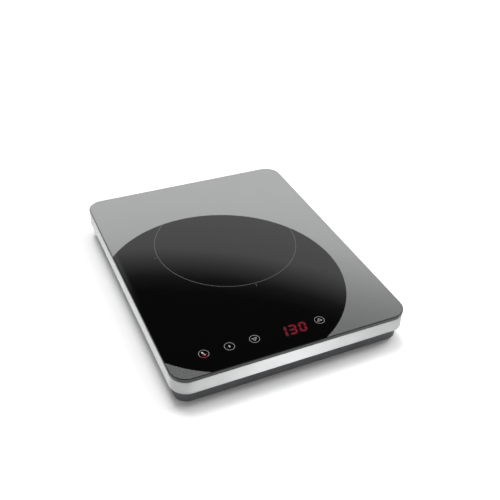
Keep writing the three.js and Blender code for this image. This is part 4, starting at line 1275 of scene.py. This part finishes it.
def studio():
    """Three wide soft suns for the whole scene, and two strip lights for the metal band."""
    soft_sun("right", (0.80, 0.05, 1.0), 30, 1.3)
    soft_sun("rear", (-0.02, 0.38, 1.0), 24, 1.6)
    soft_sun("overhead", (0.05, 0.12, 1.0), 46, 1.1)
    soft_light("front_strip", (0.31, -0.89, 0.55), (0.02, -0.18, 0.03), (0.08, 0.6), 3.1)
    soft_light("left_strip", (-0.63, 0.75, 0.73), (-0.145, -0.09, 0.03), (0.08, 0.6), 2.05)


def surround():
    """Plain surround, bright low down and dark overhead."""
    world = bpy.data.worlds.new("surround")
    world.use_nodes = True
    bpy.context.scene.world = world
    tree = world.node_tree
    background = tree.nodes["Background"]
    coordinates = tree.nodes.new("ShaderNodeTexCoord")
    split = tree.nodes.new("ShaderNodeSeparateXYZ")
    ramp = tree.nodes.new("ShaderNodeValToRGB")
    tree.links.new(coordinates.outputs["Generated"], split.inputs["Vector"])
    tree.links.new(split.outputs["Z"], ramp.inputs["Fac"])
    tree.links.new(ramp.outputs["Color"], background.inputs["Color"])
    steps = [(0.0, 1.0), (0.585, 0.97), (0.615, 0.50), (0.645, 0.10), (0.675, 0.02), (1.0, 0.02)]
    for element, (place, level) in zip(ramp.color_ramp.elements, (steps[0], steps[-1])):
        element.position = place
        element.color = (level, level, level, 1)
    for place, level in steps[1:-1]:
        ramp.color_ramp.elements.new(place).color = (level, level, level, 1)
    background.inputs["Strength"].default_value = 1.0
    bpy.context.scene.view_settings.view_transform = "Standard"


def camera():
    """Camera above the front left, tilted a little."""
    target = Vector((0.0218, -0.0039, GLASS_HIGH.z * MM))
    azimuth, elevation, roll = math.radians(26.06), math.radians(36.48), math.radians(2.55)
    distance = 0.900
    forward = Vector((
        math.sin(azimuth) * math.cos(elevation),
        math.cos(azimuth) * math.cos(elevation),
        -math.sin(elevation),
    ))
    data = bpy.data.cameras.new("camera")
    data.lens = 50.4
    data.sensor_width = 36.0
    data.shift_x, data.shift_y = -0.0008, 0.0022
    made = scene_object("camera", data)
    made.location = target - forward * distance
    turn = forward.to_track_quat("-Z", "Y") @ Quaternion((0, 0, 1), roll)
    made.rotation_euler = turn.to_euler()
    bpy.context.scene.camera = made


# ------------------------------------------------------------------ build

camera()
studio()
surround()
stage_floor()

glass_plate()
grey_corners()
zone_mark()
touch_keys()
display_digits()

glass_seal()
metal_band()
base_tray()
rubber_feet()
screws()
cord_gland()
gland_nut()

fan_housing()
fan_rotor()
coil_winding()
touch_springs()
mains_choke()
dress_kept_nodes()
light_only("metal_band", ["front_strip", "left_strip"])
